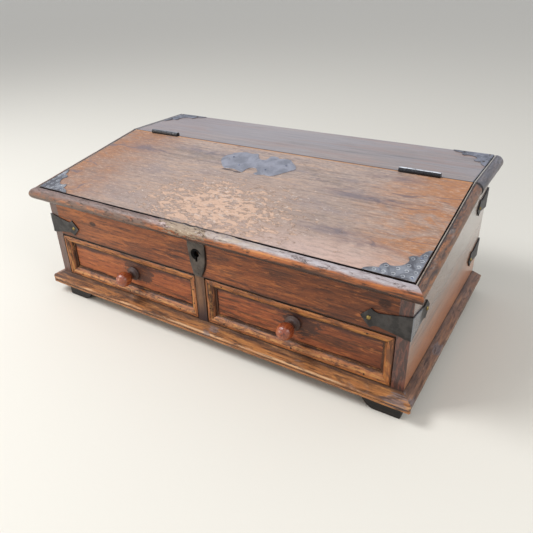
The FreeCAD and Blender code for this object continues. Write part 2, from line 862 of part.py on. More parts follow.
def drawer_frame(sign):
    """Four mitred strips of moulding planted round the drawer front."""
    low, high = drawer_span(sign, 0)
    foot_z = drawer_foot
    top_z = drawer_foot + drawer_height
    curve_start = frame_flat + frame_quirk / 2
    curve_end = frame_width - frame_fillet_width
    curve_top = frame_height - frame_quirk
    swell = (curve_start + (curve_end - curve_start) * frame_swell_across,
             frame_fillet_height + (curve_top - frame_fillet_height) * frame_swell_up)
    section = [(0, frame_height), (frame_flat, frame_height), (curve_start, curve_top),
               (swell, (curve_end, frame_fillet_height + frame_curve_foot)),
               (curve_end, frame_fillet_height), (frame_width, frame_fillet_height), (frame_width, 0)]
    strips = []
    width = high - low
    height = top_z - foot_z
    for corner, along, inward, length in (
            ((low, foot_z), (1, 0), (0, 1), width), ((low, top_z), (1, 0), (0, -1), width),
            ((low, foot_z), (0, 1), (1, 0), height), ((high, foot_z), (0, 1), (-1, 0), height)):
        place = lambda u, w: FreeCAD.Vector(corner[0] + u * inward[0], drawer_face - w,
                                            corner[1] + u * inward[1])
        bar = face_from(place, (0, 0), section).extrude(FreeCAD.Vector(along[0], 0, along[1]) * length)
        mitre = lambda run, depth: (corner[0] + along[0] * run + inward[0] * depth,
                                    corner[1] + along[1] * run + inward[1] * depth)
        plan = face_from(upright(drawer_face), mitre(0, 0),
                         [mitre(length, 0), mitre(length - frame_width, frame_width),
                          mitre(frame_width, frame_width)])
        strips.append(bar.common(plan.extrude(-Y * frame_height)).Solids[0])
    return group(strips)


def drawer_sides(sign):
    low, high = drawer_span(sign, 0)
    start = drawer_face + drawer_front_thickness - drawer_lap
    sides = [block(x, x + drawer_side_thickness, start, drawer_back, drawer_foot,
                   drawer_foot + drawer_side_height)
             for x in (low, high - drawer_side_thickness)]
    return group([side.cut(drawer_bottom(sign)) for side in sides])


def drawer_back_board(sign):
    low, high = drawer_span(sign, drawer_side_thickness)
    return block(low, high, drawer_back - drawer_side_thickness, drawer_back,
                 drawer_foot + drawer_panel_rise + drawer_panel_thickness, drawer_foot + drawer_side_height)


def drawer_bottom(sign):
    low, high = drawer_span(sign, drawer_side_thickness - drawer_panel_housing)
    start = drawer_face + drawer_front_thickness - drawer_panel_housing
    return block(low, high, start, drawer_back, drawer_foot + drawer_panel_rise,
                 drawer_foot + drawer_panel_rise + drawer_panel_thickness)


def knob_x(sign, off_middle):
    """A knob's x: the middle of its drawer, moved towards the box's middle by off_middle."""
    return sign * (sum(drawer_span(1, 0)) / 2 - off_middle)


def knob(x, height):
    """A turned knob: collar, neck and ball, with a spigot through the drawer front."""
    place = lambda u, w: FreeCAD.Vector(u, -w, 0)
    collar = knob_collar_radius
    top = knob_collar_height
    head = knob_head_radius
    centre = knob_head_centre
    join = centre - math.sqrt(head ** 2 - knob_neck_radius ** 2)
    pip = knob_pip_radius
    half = face_from(place, (0, -drawer_front_thickness), [
        (knob_spigot_radius, -drawer_front_thickness), (knob_spigot_radius, 0),
        (collar - knob_collar_round, 0), ((collar, top / 2), (collar - knob_collar_round, top)),
        ((knob_neck_radius + knob_cove_width, top + knob_cove_height), (knob_neck_radius, join)),
        ((head, centre), (pip, knob_length)), (0, knob_length)])
    turned = half.revolve(ORIGIN, Y, 360)
    turned.translate(FreeCAD.Vector(x, drawer_face, case_bottom + height))
    return turned


# ---- the whole box ----
def build():
    strap_set = all_strap_nails()
    case_pins = escutcheon_pins() + top_plate_pins()
    case_screws = lock_screws() + hinge_leaf_screws(1)
    case_fasteners = group(strap_set + case_pins + case_screws)
    lid_pins = lid_plate_pins()
    lid_screws = link_screws() + hinge_leaf_screws(-1)
    lid_fasteners = group(lid_pins.Solids + lid_screws)
    right_side = side_board(case_fasteners)
    base_right = base_moulding_side(1)
    base_left = base_moulding_side(-1)
    near_foot_y = front - foot_front_reach
    far_foot_y = back - foot_back_inset - foot_depth
    top_nosing = top_moulding()
    lid_nosing = lid_moulding_side()
    lid_plate = tilted(lid_corner_plate())
    top_plate = top_corner_plate()
    nodes = {
        "bottom_board": bottom_board(),
        "right_side": right_side,
        "left_side": mirrored_x(right_side),
        "front_board": front_board(case_fasteners),
        "back_board": back_board(case_fasteners),
        "compartment_floor": compartment_floor(),
        "centre_stile": centre_stile(),
        "drawer_divider": drawer_divider(),
        "drawer_stops": drawer_stops(),
        "base_moulding_front": base_moulding_front(),
        "base_moulding_right": base_right,
        "base_moulding_left": base_left,
        "foot_front_right": foot(1, foot_inset_right, near_foot_y),
        "foot_front_left": foot(-1, foot_inset_left, near_foot_y),
        "foot_rear_right": foot(1, foot_inset_right, far_foot_y),
        "foot_rear_left": foot(-1, foot_inset_left, far_foot_y),
        "top_board": top_board(case_fasteners),
        "top_moulding_right": top_nosing,
        "top_moulding_left": mirrored_x(top_nosing),
        "top_plate_right": top_plate.cut(case_fasteners),
        "top_plate_left": mirrored_x(top_plate).cut(case_fasteners),
        "strap_nails": group(strap_set),
        "case_plate_pins": group(case_pins),
        "case_screws": group(case_screws),
        "escutcheon": escutcheon(case_fasteners),
        "lock_case": lock_case(case_fasteners),
        "lock_bolt": lock_bolt(),
        "hinge_pins": group([hinge_pin(1), hinge_pin(-1)]),
        "lid_panel": lid_panel(lid_fasteners).cut(link_plate_flat()),
        "lid_moulding_front": lid_moulding_front(),
        "lid_moulding_right": lid_nosing,
        "lid_moulding_left": mirrored_x(lid_nosing),
        "lid_plate_right": lid_plate.cut(lid_fasteners),
        "lid_plate_left": mirrored_x(lid_plate).cut(lid_fasteners),
        "lid_crest_plate": tilted(crest_plate()).cut(lid_fasteners),
        "lid_plate_pins": lid_pins,
        "lid_screws": group(lid_screws),
        "lid_link_plate": link_plate(lid_fasteners),
    }
    straps = {
        "front_strap": corner_strap(front_strap_height()),
        "rear_upper_strap": mirrored_in_case_depth(corner_strap(rear_strap_heights()[0])),
        "rear_lower_strap": mirrored_in_case_depth(corner_strap(rear_strap_heights()[1])),
    }
    for name, strap in straps.items():
        nodes[name + "_right"] = strap.cut(case_fasteners)
        nodes[name + "_left"] = mirrored_x(strap).cut(case_fasteners)
    for word, sign, off_middle, knob_height in (("left", -1, knob_left_off_middle, knob_left_height),
                                                ("right", 1, knob_right_off_middle, knob_right_height)):
        turned_knob = knob(knob_x(sign, off_middle), knob_height)
        nodes["hinge_fixed_leaf_" + word] = hinge_leaf(sign, 1, case_fasteners)
        nodes["hinge_lid_leaf_" + word] = hinge_leaf(sign, -1, lid_fasteners)
        nodes["drawer_front_" + word] = drawer_front(sign, turned_knob)
        nodes["drawer_frame_" + word] = drawer_frame(sign)
        nodes["drawer_sides_" + word] = drawer_sides(sign)
        nodes["drawer_back_" + word] = drawer_back_board(sign)
        nodes["drawer_bottom_" + word] = drawer_bottom(sign)
        nodes["drawer_knob_" + word] = turned_knob
    return nodes


os.makedirs("parts", exist_ok=True)
parts = build()
for name, shape in parts.items():
    shape.exportStep("parts/" + name + ".step")
    print(name, len(shape.Solids), round(shape.Volume, 1), shape.isValid())
whole = Part.makeCompound(list(parts.values())).BoundBox
print("nodes", len(parts), "box", round(whole.XLength, 1), round(whole.YLength, 1), round(whole.ZLength, 1))
print("from", round(whole.XMin, 2), round(whole.YMin, 2), round(whole.ZMin, 2))
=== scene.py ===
# %% [markdown]
# # A slant-lidded letter box
# An old wooden box for letters: a sloping lid hinged to a fixed top, two drawers below, iron
# straps on its corners and a lock in front. The joints, boards and ironwork come ready made as
# solids. This lesson dresses them: it models the pieces that a century of hands has rounded, and
# gives every surface its finish. Everything is in metres, X to the right, Y to the back, Z up.

# %% Load the solid model
import cmath
import json
import math

import bmesh
import bpy
from mathutils import Matrix, Vector


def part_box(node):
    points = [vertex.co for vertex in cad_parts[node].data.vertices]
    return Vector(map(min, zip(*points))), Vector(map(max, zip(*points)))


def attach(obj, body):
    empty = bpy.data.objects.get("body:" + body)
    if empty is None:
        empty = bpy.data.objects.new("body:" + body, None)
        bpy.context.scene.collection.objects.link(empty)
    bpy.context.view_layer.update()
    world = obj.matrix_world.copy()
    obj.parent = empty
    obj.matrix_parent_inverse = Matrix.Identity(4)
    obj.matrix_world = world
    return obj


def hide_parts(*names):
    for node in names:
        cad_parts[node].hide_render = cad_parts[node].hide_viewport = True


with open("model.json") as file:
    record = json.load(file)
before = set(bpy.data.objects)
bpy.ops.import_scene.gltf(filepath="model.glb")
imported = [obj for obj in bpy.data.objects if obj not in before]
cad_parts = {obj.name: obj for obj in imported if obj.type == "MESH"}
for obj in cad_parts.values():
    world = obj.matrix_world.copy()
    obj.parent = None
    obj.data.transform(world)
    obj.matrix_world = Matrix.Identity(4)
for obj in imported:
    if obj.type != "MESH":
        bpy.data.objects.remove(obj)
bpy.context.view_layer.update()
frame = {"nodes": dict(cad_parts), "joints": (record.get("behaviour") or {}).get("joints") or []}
nodes = frame["nodes"]
print("solid pieces:", len(nodes))

# %% [markdown]
# ## Where things are
# The solids say where the new pieces belong, so the main places are read from their boxes. Only
# the height of the rim at the front is written down, because the sloping lid hides it.

# %% Main places of the box
MM = 0.001
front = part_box("front_board")[0].y
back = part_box("back_board")[1].y
half_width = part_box("bottom_board")[1].x
case_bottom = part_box("bottom_board")[1].z
back_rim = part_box("right_side")[1].z
seam = frame["joints"][0]["pos_m"][1]
front_rim = 171.2 * MM
keyhole = Vector((0, front, front_rim - 29.2 * MM))
slope = math.atan2(back_rim - front_rim, seam - front)
lid_mm = 19.5
lid_thickness = lid_mm * MM
lid_overhang = 7.3 * MM
hands = ((1, "right"), (-1, "left"))
print("slope of the lid in degrees:", round(math.degrees(slope), 2))

# %% [markdown]
# ## Points on the sloping lid
# The lid is easier to think of lying level: so far across, so far up the slope from the case
# front, and so high above the rim. This helper turns such a place into a point in space.

# %% A point on the lid
across, backward, upward = Vector((1, 0, 0)), Vector((0, 1, 0)), Vector((0, 0, 1))
forward = Vector((0, -1, 0))
up_slope = Vector((0, math.cos(slope), math.sin(slope)))
off_slope = Vector((0, -math.sin(slope), math.cos(slope)))


def on_lid(x, along, above):
    return Vector((x, front, front_rim)) + up_slope * along + off_slope * above


print("front edge of the lid at", tuple(round(v, 4) for v in on_lid(0, -lid_overhang, 0)))

# %% [markdown]
# ## The camera
# A piece of furniture looks natural from a little above and from one corner, through a lens that
# is not too wide. The camera is tilted up from looking straight down, turned towards the box, and
# rolled a little about its own line of sight, because a camera in the hand is never quite level.

# %% Set the camera
turn, tilt, roll = (math.radians(angle) for angle in (32.6174, 28.8087, -1.4993))
bpy.ops.object.camera_add(location=(0.423309, -0.646442, 0.470624))
camera = bpy.context.object
camera.name = "camera"
camera.rotation_euler = (Matrix.Rotation(turn, 3, "Z") @ Matrix.Rotation(math.pi / 2 - tilt, 3, "X")
                         @ Matrix.Rotation(roll, 3, "Z")).to_euler()
camera.data.lens = 35.712
camera.data.sensor_width = 36.0
bpy.context.scene.camera = camera
print("camera looks down by", round(math.degrees(tilt), 1), "degrees")

# %% [markdown]
# ## Light
# Studio light for old polish is broad and soft, or every small dent would sparkle. The world
# gives an even light from all around. What the camera sees is set apart from it, so the backdrop
# can be pale without washing out the wood, and polish mirrors the cool light of a window. Two
# large lamps add the shape, above and low at the left, and a weaker one stands at the right.

# %% Light the world
scene = bpy.context.scene
scene.view_settings.view_transform = "Standard"
world = bpy.data.worlds.new("soft_studio")
scene.world = world
world.use_nodes = True
world_nodes, world_links = world.node_tree.nodes, world.node_tree.links
world_nodes.clear()
rays = world_nodes.new("ShaderNodeLightPath")


def background(colour, strength):
    made = world_nodes.new("ShaderNodeBackground")
    made.inputs["Color"].default_value = colour + (1,)
    made.inputs["Strength"].default_value = strength
    return made.outputs[0]


def one_or_other(share, first, second):
    made = world_nodes.new("ShaderNodeMixShader")
    for number, source in enumerate((share, first, second)):
        world_links.new(source, made.inputs[number])
    return made.outputs[0]


ambient = background((0.97, 0.98, 1.0), 0.55)
backdrop = background((0.88, 0.86, 0.8), 1.0)
window = background((0.76, 0.82, 0.95), 1.0)
seen = ambient
for ray, light in (("Camera", backdrop), ("Transmission", backdrop), ("Glossy", window)):
    seen = one_or_other(rays.outputs[f"Is {ray} Ray"], seen, light)
world_links.new(seen, world_nodes.new("ShaderNodeOutputWorld").inputs["Surface"])
print("world nodes:", len(world_nodes))


# %% Hang the lamps
def hang_lamp(name, place, aim, width, watts):
    """A square soft box that points from its place at its aim."""
    bpy.ops.object.light_add(type="AREA", location=place)
    lamp = bpy.context.object
    lamp.name = name
    lamp.data.size = width
    lamp.data.energy = watts
    lamp.rotation_euler = (Vector(aim) - Vector(place)).to_track_quat("-Z", "Y").to_euler()
    return lamp


lamps = [hang_lamp("lamp_above_left", (-1.2, -0.9, 1.9), (0, 0, 0.1), 0.9, 38),
         hang_lamp("lamp_low_left", (-1.9, -2.5, 0.7), (0, 0, 0.1), 1.2, 26),
         hang_lamp("lamp_right", (1.9, -0.4, 1.2), (0, 0, 0.1), 1.0, 12)]
lamps[0].data.color = (0.95, 0.97, 1.0)
lamps[1].data.color = (1.0, 0.92, 0.82)
print("lamps:", [lamp.name for lamp in lamps])

# %% [markdown]
# ## Tools for mixing a finish
# An old finish is a stack of layers: the wood, then stain, dirt, polish and wear, each where
# hands or water reached. One finish is mixed at a time. It has a colour, a roughness and a
# height, and each layer changes one of them through a mask. These are the few tools for that.

# %% Start a finish and add a node to it
finish = {}
origin = (0, 0, 0)


def tone(chart):
    """A colour as six hex digits, as on a paint chart, turned into light."""
    parts = [int(chart[i:i + 2], 16) / 255 for i in (0, 2, 4)]
    return tuple(p / 12.92 if p <= 0.04045 else ((p + 0.055) / 1.055) ** 2.4 for p in parts) + (1,)


def begin(name, colour, rough):
    """Puts a new finish on the bench, in one plain colour."""
    material = bpy.data.materials.new(name)
    material.use_nodes = True
    material.node_tree.nodes.clear()
    finish.update(material=material, colour=tone(colour), rough=rough, height=None)


def node(kind, inputs, **settings):
    """Adds one shader node; an input may be a plain value or another node's output."""
    tree = finish["material"].node_tree
    made = tree.nodes.new("ShaderNode" + kind)
    for key, value in settings.items():
        setattr(made, key, value)
    for key, value in inputs.items():
        if isinstance(value, bpy.types.NodeSocket):
            tree.links.new(value, made.inputs[key])
        else:
            made.inputs[key].default_value = value
    return made


# %% Patterns
def place(size, start=origin, turn=origin):
    """Where a pattern sits: the size of its features in metres, its start and its turn."""
    return node("Mapping", {"Vector": node("TexCoord", {}).outputs["Object"], "Location": start,
                            "Rotation": turn, "Scale": size}, vector_type="TEXTURE").outputs[0]


def noise(size, detail=4.0, roughness=0.55, distortion=0.0, shift=origin, turn=origin):
    return node("TexNoise", {"Vector": place(size, shift, turn), "Scale": 1.0, "Detail": detail,
                             "Roughness": roughness, "Distortion": distortion}).outputs["Fac"]


def where(letter, start=origin, turn=origin):
    """How far a point lies along X, Y or Z."""
    return node("SeparateXYZ", {0: place((1, 1, 1), start, turn)}).outputs[letter]


# %% Sums
def reckoner(what):
    """A function that reckons with two values, or with one."""
    return lambda first, second=0.0: node("Math", {0: first, 1: second}, operation=what).outputs[0]


plus, minus, times, larger, smaller, unsigned = (reckoner(what) for what in (
    "ADD", "SUBTRACT", "MULTIPLY", "MAXIMUM", "MINIMUM", "ABSOLUTE"))


def both(first, *others):
    """Where all the masks are, as their product."""
    for other in others:
        first = times(first, other)
    return first


def aside():
    """How far a point lies from the middle of the box, to either side."""
    return unsigned(where("X"))


# %% Masks
def band(value, low, high, bottom=0.0, top=1.0):
    """0 where value is below low, 1 where it is above high, and smooth between."""
    return node("MapRange", {"Value": value, "From Min": low, "From Max": high, "To Min": bottom,
                             "To Max": top}, interpolation_type="SMOOTHSTEP").outputs["Result"]


def stripe(value, start, full, fading, end):
    """1 from full to fading, and 0 outside start and end."""
    return both(band(value, start, full), band(value, end, fading))


def above(letter, low, high, bottom=0.0, top=1.0):
    return band(where(letter), low, high, bottom, top)


def spot(centre, reach, turn=origin):
    """1 in the middle of an oval patch, falling to 0 at its reach."""
    away = node("VectorMath", {0: place(reach, centre, turn)}, operation="LENGTH").outputs["Value"]
    return band(away, 1.0, 0.0)


def thinning(pattern, patch, middle, edge):
    """Cuts a pattern off at a level that is low in the middle of a patch and high at its edge."""
    level = plus(pattern, both(patch, edge - middle))
    return band(level, edge - 0.015, edge + 0.02)


# %% Layers
def tint(mask, colour, share=None):
    """Lays a colour over what is there, where the mask is."""
    if share is not None:
        mask = both(mask, share)
    mixed = node("Mix", {0: mask, 6: finish["colour"], 7: tone(colour)}, data_type="RGBA")
    finish["colour"] = mixed.outputs[2]


def stain(pattern, low, high, colour, share=1.0):
    """Lays a colour where a pattern rises from low to high."""
    tint(band(pattern, low, high, 0, share), colour)


def dull(mask, rough):
    """Moves the roughness towards a value, where the mask is."""
    finish["rough"] = node("Mix", {0: mask, 2: finish["rough"], 3: rough}).outputs[0]


def raise_by(pattern, height):
    """Adds a pattern to the relief; height is in metres, and below zero it sinks."""
    lifted = both(pattern, height)
    finish["height"] = lifted if finish["height"] is None else plus(finish["height"], lifted)


def complete(shine=0.5, **constants):
    """Joins the layers in one shader; shine is how strongly the surface mirrors."""
    bump = node("Bump", {"Height": finish["height"], "Distance": 1.0, "Strength": 1.0})
    inputs = {"Base Color": finish["colour"], "Roughness": finish["rough"],
              "Normal": bump.outputs[0], "Specular IOR Level": shine}
    inputs.update({key.replace("_", " "): value for key, value in constants.items()})
    node("OutputMaterial", {"Surface": node("BsdfPrincipled", inputs).outputs[0]})
    material = finish["material"]
    print("finish:", material.name, "with", len(material.node_tree.nodes), "nodes")
    return material


# %% [markdown]
# ## Wood
# Wood shows several sizes of grain at once: broad bands from the growth rings, streaks along the
# board, short dark flecks and fine pores. All are noise pulled long in the direction the board
# runs. A wood finish starts with them, and each board then gets its own stains and wear.

# %% Grain in four sizes
RUN_X, RUN_Y, RUN_Z = 0, 1, 2
# length, width and detail of the broad bands, the streaks, the flecks and the pores
grain_sizes = ((0.4, 0.03, 3), (0.1, 0.005, 5), (0.022, 0.0021, 4), (0.014, 0.0009, 2))


def drawn_out(run, long, short, flat=None):
    """The size of a pattern that is long along the board and short across it."""
    size = [short, short, flat or short]
    size[run] = long
    return size


def wood(name, run, dark, middle, light, rough=0.42, shift=origin, turn=origin, flecked=0.75,
         coarse=1):
    """Starts a finish with the grain of a board that runs along one axis."""
    begin(name, middle, rough)
    broad, streak, fleck, pores = (
        noise(drawn_out(run, long * coarse, short * coarse), detail, 0.62, 0.45, shift, turn)
        for long, short, detail in grain_sizes)
    figure = plus(both(broad, 0.45), both(streak, 0.55))
    stain(figure, 0.49, 0.39, dark)
    stain(figure, 0.5, 0.62, light)
    stain(fleck, 0.54, 0.66, dark, flecked)
    stain(fleck, 0.44, 0.34, light, flecked * 0.7)
    open_pores = band(pores, 0.6, 0.72)
    tint(open_pores, dark, 0.5)
    raise_by(streak, 0.0003)
    raise_by(fleck, -0.00035)
    raise_by(open_pores, -0.00015)
    finish.update(streak=streak, fleck=fleck)


def bare_inside(inner):
    """Faces that point inwards were never polished: plain brown wood with the board's own grain."""
    tint(inner, "86654a")
    tint(both(inner, band(finish["streak"], 0.5, 0.4, 0, 0.7)), "6a4c36")
    tint(both(inner, band(finish["fleck"], 0.54, 0.66, 0, 0.5)), "573e2e")
    dull(inner, 0.62)


# %% [markdown]
# ## The lid
# The lid has been leaned and written on. In its middle the polish is worn through to pale wood in
# small flakes that thin out to single specks. Along the front it is pinkish and rubbed, at both
# ends it kept its orange polish, and water has left blue-grey clouds and a few dark marks. The
# flakes are a noise that is cut off at a level, and the level sinks towards the middle of the
# worn place. The patterns turn with the slope.

# %% Patterns that turn with the lid
lid_turn = (slope, 0, 0)
lid_start, rim_start = on_lid(0, 0, lid_thickness), on_lid(0, 0, 0)


def lid_spot(x, y, reach_x, reach_y):
    """An oval patch on top of the lid, given in plan."""
    along = (y - front) / math.cos(slope)
    return spot(on_lid(x, along, lid_thickness), (reach_x, reach_y, 0.2), lid_turn)


def lid_noise(long, short, detail, roughness=0.62, distortion=0.6, shift=0.0):
    start = lid_start + Vector((shift, shift, shift))
    return noise((long, short, short), detail, roughness, distortion, start, lid_turn)


# %% Lid finish: water, warm ends and rubbed front
# the pale grey-pink ground is partly the wood's own colour and partly painted sheen
wood("lid_polish", RUN_X, "87796f", "a59389", "b89b86", 0.46, lid_start, lid_turn)
level = where("Z", lid_start, lid_turn)
clouds = lid_noise(0.09, 0.03, 6)
smears = lid_noise(0.07, 0.03, 5, 0.66, 0.8, 0.5)
ends = larger(above("X", 0.15, 0.29), above("X", -0.15, -0.29, 0, 0.9))
cool = band(ends, 1.0, 0.2, 0.3, 1)
tint(both(cool, band(clouds, 0.5, 0.64, 0, 0.45)), "7f7a80")
warm = both(plus(ends, 0.07), band(smears, 0.36, 0.58, 0.25, 1))
tint(warm, "a76c3c", 0.78)
# darker and warmer at the left end: the wood's colour, with painted shade against the left lamps
tint(above("X", -0.1, -0.28, 0, 0.5), "80583c")
specks = lid_noise(0.018, 0.0046, 8, 0.78, 0.4)
tint(both(plus(warm, 0.2), band(specks, 0.48, 0.68, 0, 0.5)), "c08046")
tint(both(larger(cool, 0.55), band(specks, 0.52, 0.36, 0, 0.42)), "77706f")
sandy = lid_noise(0.0075, 0.0026, 4, 0.7, 0.2, 0.3)
stain(sandy, 0.52, 0.66, "6a574f", 0.45)
stain(sandy, 0.46, 0.33, "cdb09c", 0.45)
bright_mark = lid_spot(0.15, -0.16, 0.26, 0.06)
tint(both(bright_mark, band(specks, 0.36, 0.6, 0.4, 0.85)), "cfb3a8")

# %% Lid finish: the worn place
# a lighter ground, flakes of bare wood, cracks between them and loose specks round it
worn = lid_spot(0.005, -0.118, 0.27, 0.15)
tint(worn, "a68e80", 0.7)
flakes = lid_noise(0.016, 0.0078, 9, 0.74, 0.6)
chips = lid_noise(0.0085, 0.0042, 6, 0.68, 1.0, 0.4)
bare = thinning(flakes, worn, 0.44, 0.71)
tint(bare, "d4b097", 0.72)
tint(both(bare, band(chips, 0.54, 0.62)), "98796a", 0.55)
cracks = band(lid_noise(0.012, 0.0036, 6, 0.7, 1.6, 0.9), 0.54, 0.64)
tint(both(cracks, band(worn, 0.05, 0.5)), "7c6558", 0.5)
single = thinning(chips, lid_spot(0.02, -0.11, 0.3, 0.16), 0.57, 0.7)
tint(single, "dccabd", 0.6)

# %% Lid finish: smudges, water rims and joints
for x, y, long, wide in ((-0.225, -0.002, 0.06, 0.022), (-0.1, 0.02, 0.1, 0.016),
                         (0.14, 0.012, 0.04, 0.016), (0.2, 0.036, 0.07, 0.016),
                         (0.176, -0.027, 0.09, 0.014), (0.174, -0.111, 0.08, 0.014),
                         (0.232, -0.125, 0.06, 0.014)):
    tint(both(lid_spot(x, y, long, wide), band(smears, 0.36, 0.6)), "645d66", 0.75)
for x, y, long in ((-0.04, -0.0243, 0.019), (-0.022, -0.0262, 0.012)):
    dash = (x, y, on_lid(0, y - front, lid_thickness).z)
    stain(spot(dash, (long * 0.8, 0.0026, 0.02), lid_turn), 0.05, 0.3, "3f3634", 0.9)
water = lid_noise(0.15, 0.05, 2, 0.5, 0, 0.6)
rim = stripe(water, 0.482, 0.498, 0.5, 0.512)
tint(both(rim, band(worn, 0.2, 0.0), band(smears, 0.46, 0.56, 0, 0.75)), "655a5e")
stain(aside(), half_width - 0.0006, half_width - 0.0002, "241914")
# a dark line at the groove along the panel's front edge: dirt and painted shade
stain(where("Y", lid_start, lid_turn), -lid_overhang + 0.0012, -lid_overhang + 0.0004, "1f1511")
tint(above("Y", seam - 0.0036, seam - 0.0018, 0, 0.8), "b98250")
dull(bare, 0.65)
bare_inside(band(level, -0.003, -0.005))
raise_by(both(bare, band(level, -0.005, -0.003)), -0.0004)
raise_by(clouds, 0.0008)
lid_polish = complete(0.4)

# %% [markdown]
# ## The fixed top, the front and the sides
# Each board has the same wood with its own colours. The fixed top is dark, with a grey haze that
# is partly painted sheen. The front is red-brown, with painted light at the left and painted shade
# that darkens it towards the right. The sides are grey towards the top, partly greyed wood and
# partly painted sheen, and warmer near the base. The left side gets painted shade, to stay darker
# under the lamps at the left. Faces that point inwards were never polished, so they keep a plain
# brown.

# %% Fixed top finish
wood("top_polish", RUN_X, "584940", "7b695e", "8f7b6c", 0.36, (0.2, 0.5, 0.3), flecked=0.5,
     coarse=1.9)
# a grey haze: partly greyed polish, partly painted sheen
haze_and_sheen = noise((0.2, 0.04, 0.04), 5, 0.6, 0.6)
stain(haze_and_sheen, 0.42, 0.6, "837b7a", 0.45)
stain(noise((0.14, 0.02, 0.02), 5, 0.62, 0.5, (0.4, 0.1, 0.6)), 0.52, 0.66, "87624d", 0.55)
tint(above("X", -0.05, -0.28, 0, 0.4), "64453a")
stain(noise((0.005, 0.0025, 0.004), 2, 0.5), 0.7, 0.78, "b3a9a6", 0.4)
tint(above("Y", seam + 0.0028, seam + 0.0014, 0, 0.8), "33241d")
tint(above("Y", back + 0.003, back + 0.0038, 0, 0.8), "4b3a30")
stain(aside(), half_width - 0.0016, half_width - 0.0008, "241914")
raise_by(haze_and_sheen, 0.0004)
top_polish = complete(Coat_Weight=0.55, Coat_Roughness=0.25)

# %% Front board finish
drawer_line = case_bottom + 0.0738
wood("front_polish", RUN_X, "452a21", "84492b", "b0693a", 0.44, (0.4, 0.1, 0.7), flecked=0.9)
# painted light at the left and painted shade towards the right
tint(above("X", -0.3, -0.02, 0.3, 0.0), "a8693f")
tint(above("X", 0.0, 0.26, 0, 0.5), "4d2c1e")
stain(noise((0.1, 0.03, 0.022), 5, 0.62, 0.6), 0.52, 0.66, "4b3228", 0.6)
knot = spot((-0.2046, front, 0.1415), (0.01, 0.02, 0.005))
stain(knot, 0.05, 0.4, "33211b", 0.9)
blot = spot((0.267, front, 0.1475), (0.011, 0.02, 0.0085))
stain(blot, 0.05, 0.4, "2c1a14", 0.8)
specks = noise((0.024, 0.02, 0.0042), 8, 0.76, 0.3, (0.3, 0.2, 0.6))
stain(specks, 0.52, 0.66, "3f271f", 0.6)
stain(specks, 0.47, 0.33, "bf7440", 0.6)
# painted shadow under and to the right of the escutcheon
shield_shadow = spot((0.0032, front, front_rim - 0.03), (0.016, 0.03, 0.038))
stain(shield_shadow, 0.02, 0.14, "1d120d", 0.9)
# painted shade: black inside the keyhole
stain(spot(keyhole, (0.01, 0.05, 0.012)), 0.05, 0.2, "080605")
# painted shade on the board's lower edge, over the gap above the drawers
tint(above("Z", drawer_line + 0.006, drawer_line + 0.0005, 0, 0.55), "35221a")
tint(above("Z", drawer_line + 0.0016, drawer_line + 0.0008), "120c09")
# painted shade under the lid's nosing
tint(above("Z", front_rim - 0.014, front_rim - 0.004, 0, 0.7), "38241b")
bare_inside(above("Y", front + 0.004, front + 0.006))
front_polish = complete(0.3)

# %% Side finish
wood("side_polish", RUN_Y, "644a3d", "8a6852", "a07c62", 0.42, (0.1, 0.6, 0.2), flecked=0.4)
height = plus(where("Z"), both(noise((0.2, 0.12, 0.05), 5, 0.6, 0.4), 0.09))
# grey towards the top: partly greyed wood, partly painted sheen
upper = band(height, 0.115, 0.19)
tint(upper, "8a807b", 0.6)
tint(both(upper, band(finish["streak"], 0.5, 0.38, 0, 0.5)), "6b5f59")
tint(both(upper, band(finish["fleck"], 0.5, 0.62, 0, 0.4)), "9c9591")
dull(upper, 0.15)
stain(height, 0.15, 0.085, "b8764c", 0.85)
stain(noise((0.03, 0.07, 0.03), 6, 0.66, 0.8, (0.2, 0.1, 0.5)), 0.58, 0.68, "6b5142", 0.3)
specks = noise((0.01, 0.03, 0.006), 8, 0.76, 0.4, (0.4, 0.7, 0.1))
stain(specks, 0.52, 0.66, "6a5147", 0.38)
tint(both(band(specks, 0.47, 0.33, 0, 0.7), band(height, 0.16, 0.08, 0.3, 1)), "c08253")
front_end = above("Y", front + 0.0014, front + 0.0005)
tint(front_end, "371c14")
dull(front_end, 0.6)
front_edge = noise((0.004, 0.02, 0.02), 5, 0.68, 0.5, (0.2, 0.5, 0.5))
tint(both(front_end, band(front_edge, 0.46, 0.6)), "74402e", 0.7)
tint(above("Y", back - 0.0014, back - 0.0005), "553c2d")
tint(above("Z", case_bottom + 0.004, case_bottom + 0.0005, 0, 0.7), "2f1f18")
# painted shade: the left side is kept darker under the lamps at the left
tint(above("X", 0.1, -0.1, 0, 0.55), "5c3e2f")
rim = band(where("Z", rim_start, lid_turn), -0.002, -0.001)
inner = larger(rim, band(aside(), half_width - 0.0035, half_width - 0.0055))
between = stripe(where("Y"), front + 0.002, front + 0.004, back - 0.004, back - 0.002)
bare_inside(both(between, inner))
side_polish = complete(Coat_Weight=0.8, Coat_Roughness=0.18)

# %% Back, underside and inside finishes
wood("back_wood", RUN_X, "3a2a21", "5b4333", "735643", 0.62, (0.3, 0.2, 0.9))
stain(noise((0.15, 0.1, 0.05), 5, 0.6, 0.3), 0.5, 0.7, "7d6b5d", 0.4)
back_wood = complete(0.3)


def inside_finish(name, run):
    wood(name, run, "6d4d35", "95704f", "ab8763", 0.6, (0.7, 0.3, 0.1))
    stain(noise((0.12, 0.08, 0.05), 5, 0.6, 0.3), 0.5, 0.7, "7a6149", 0.35)
    return complete(0.3)


wood("stile_polish", RUN_Z, "33241b", "5f4433", "7d5b43", 0.5, (0.9, 0.3, 0.2))
tint(above("Z", case_bottom + 0.04, case_bottom + 0.004, 0, 0.85), "30262a")
stile_polish = complete(0.3)
inside_wood = inside_finish("inside_wood", RUN_X)
inside_wood_lengthways = inside_finish("inside_wood_lengthways", RUN_Y)
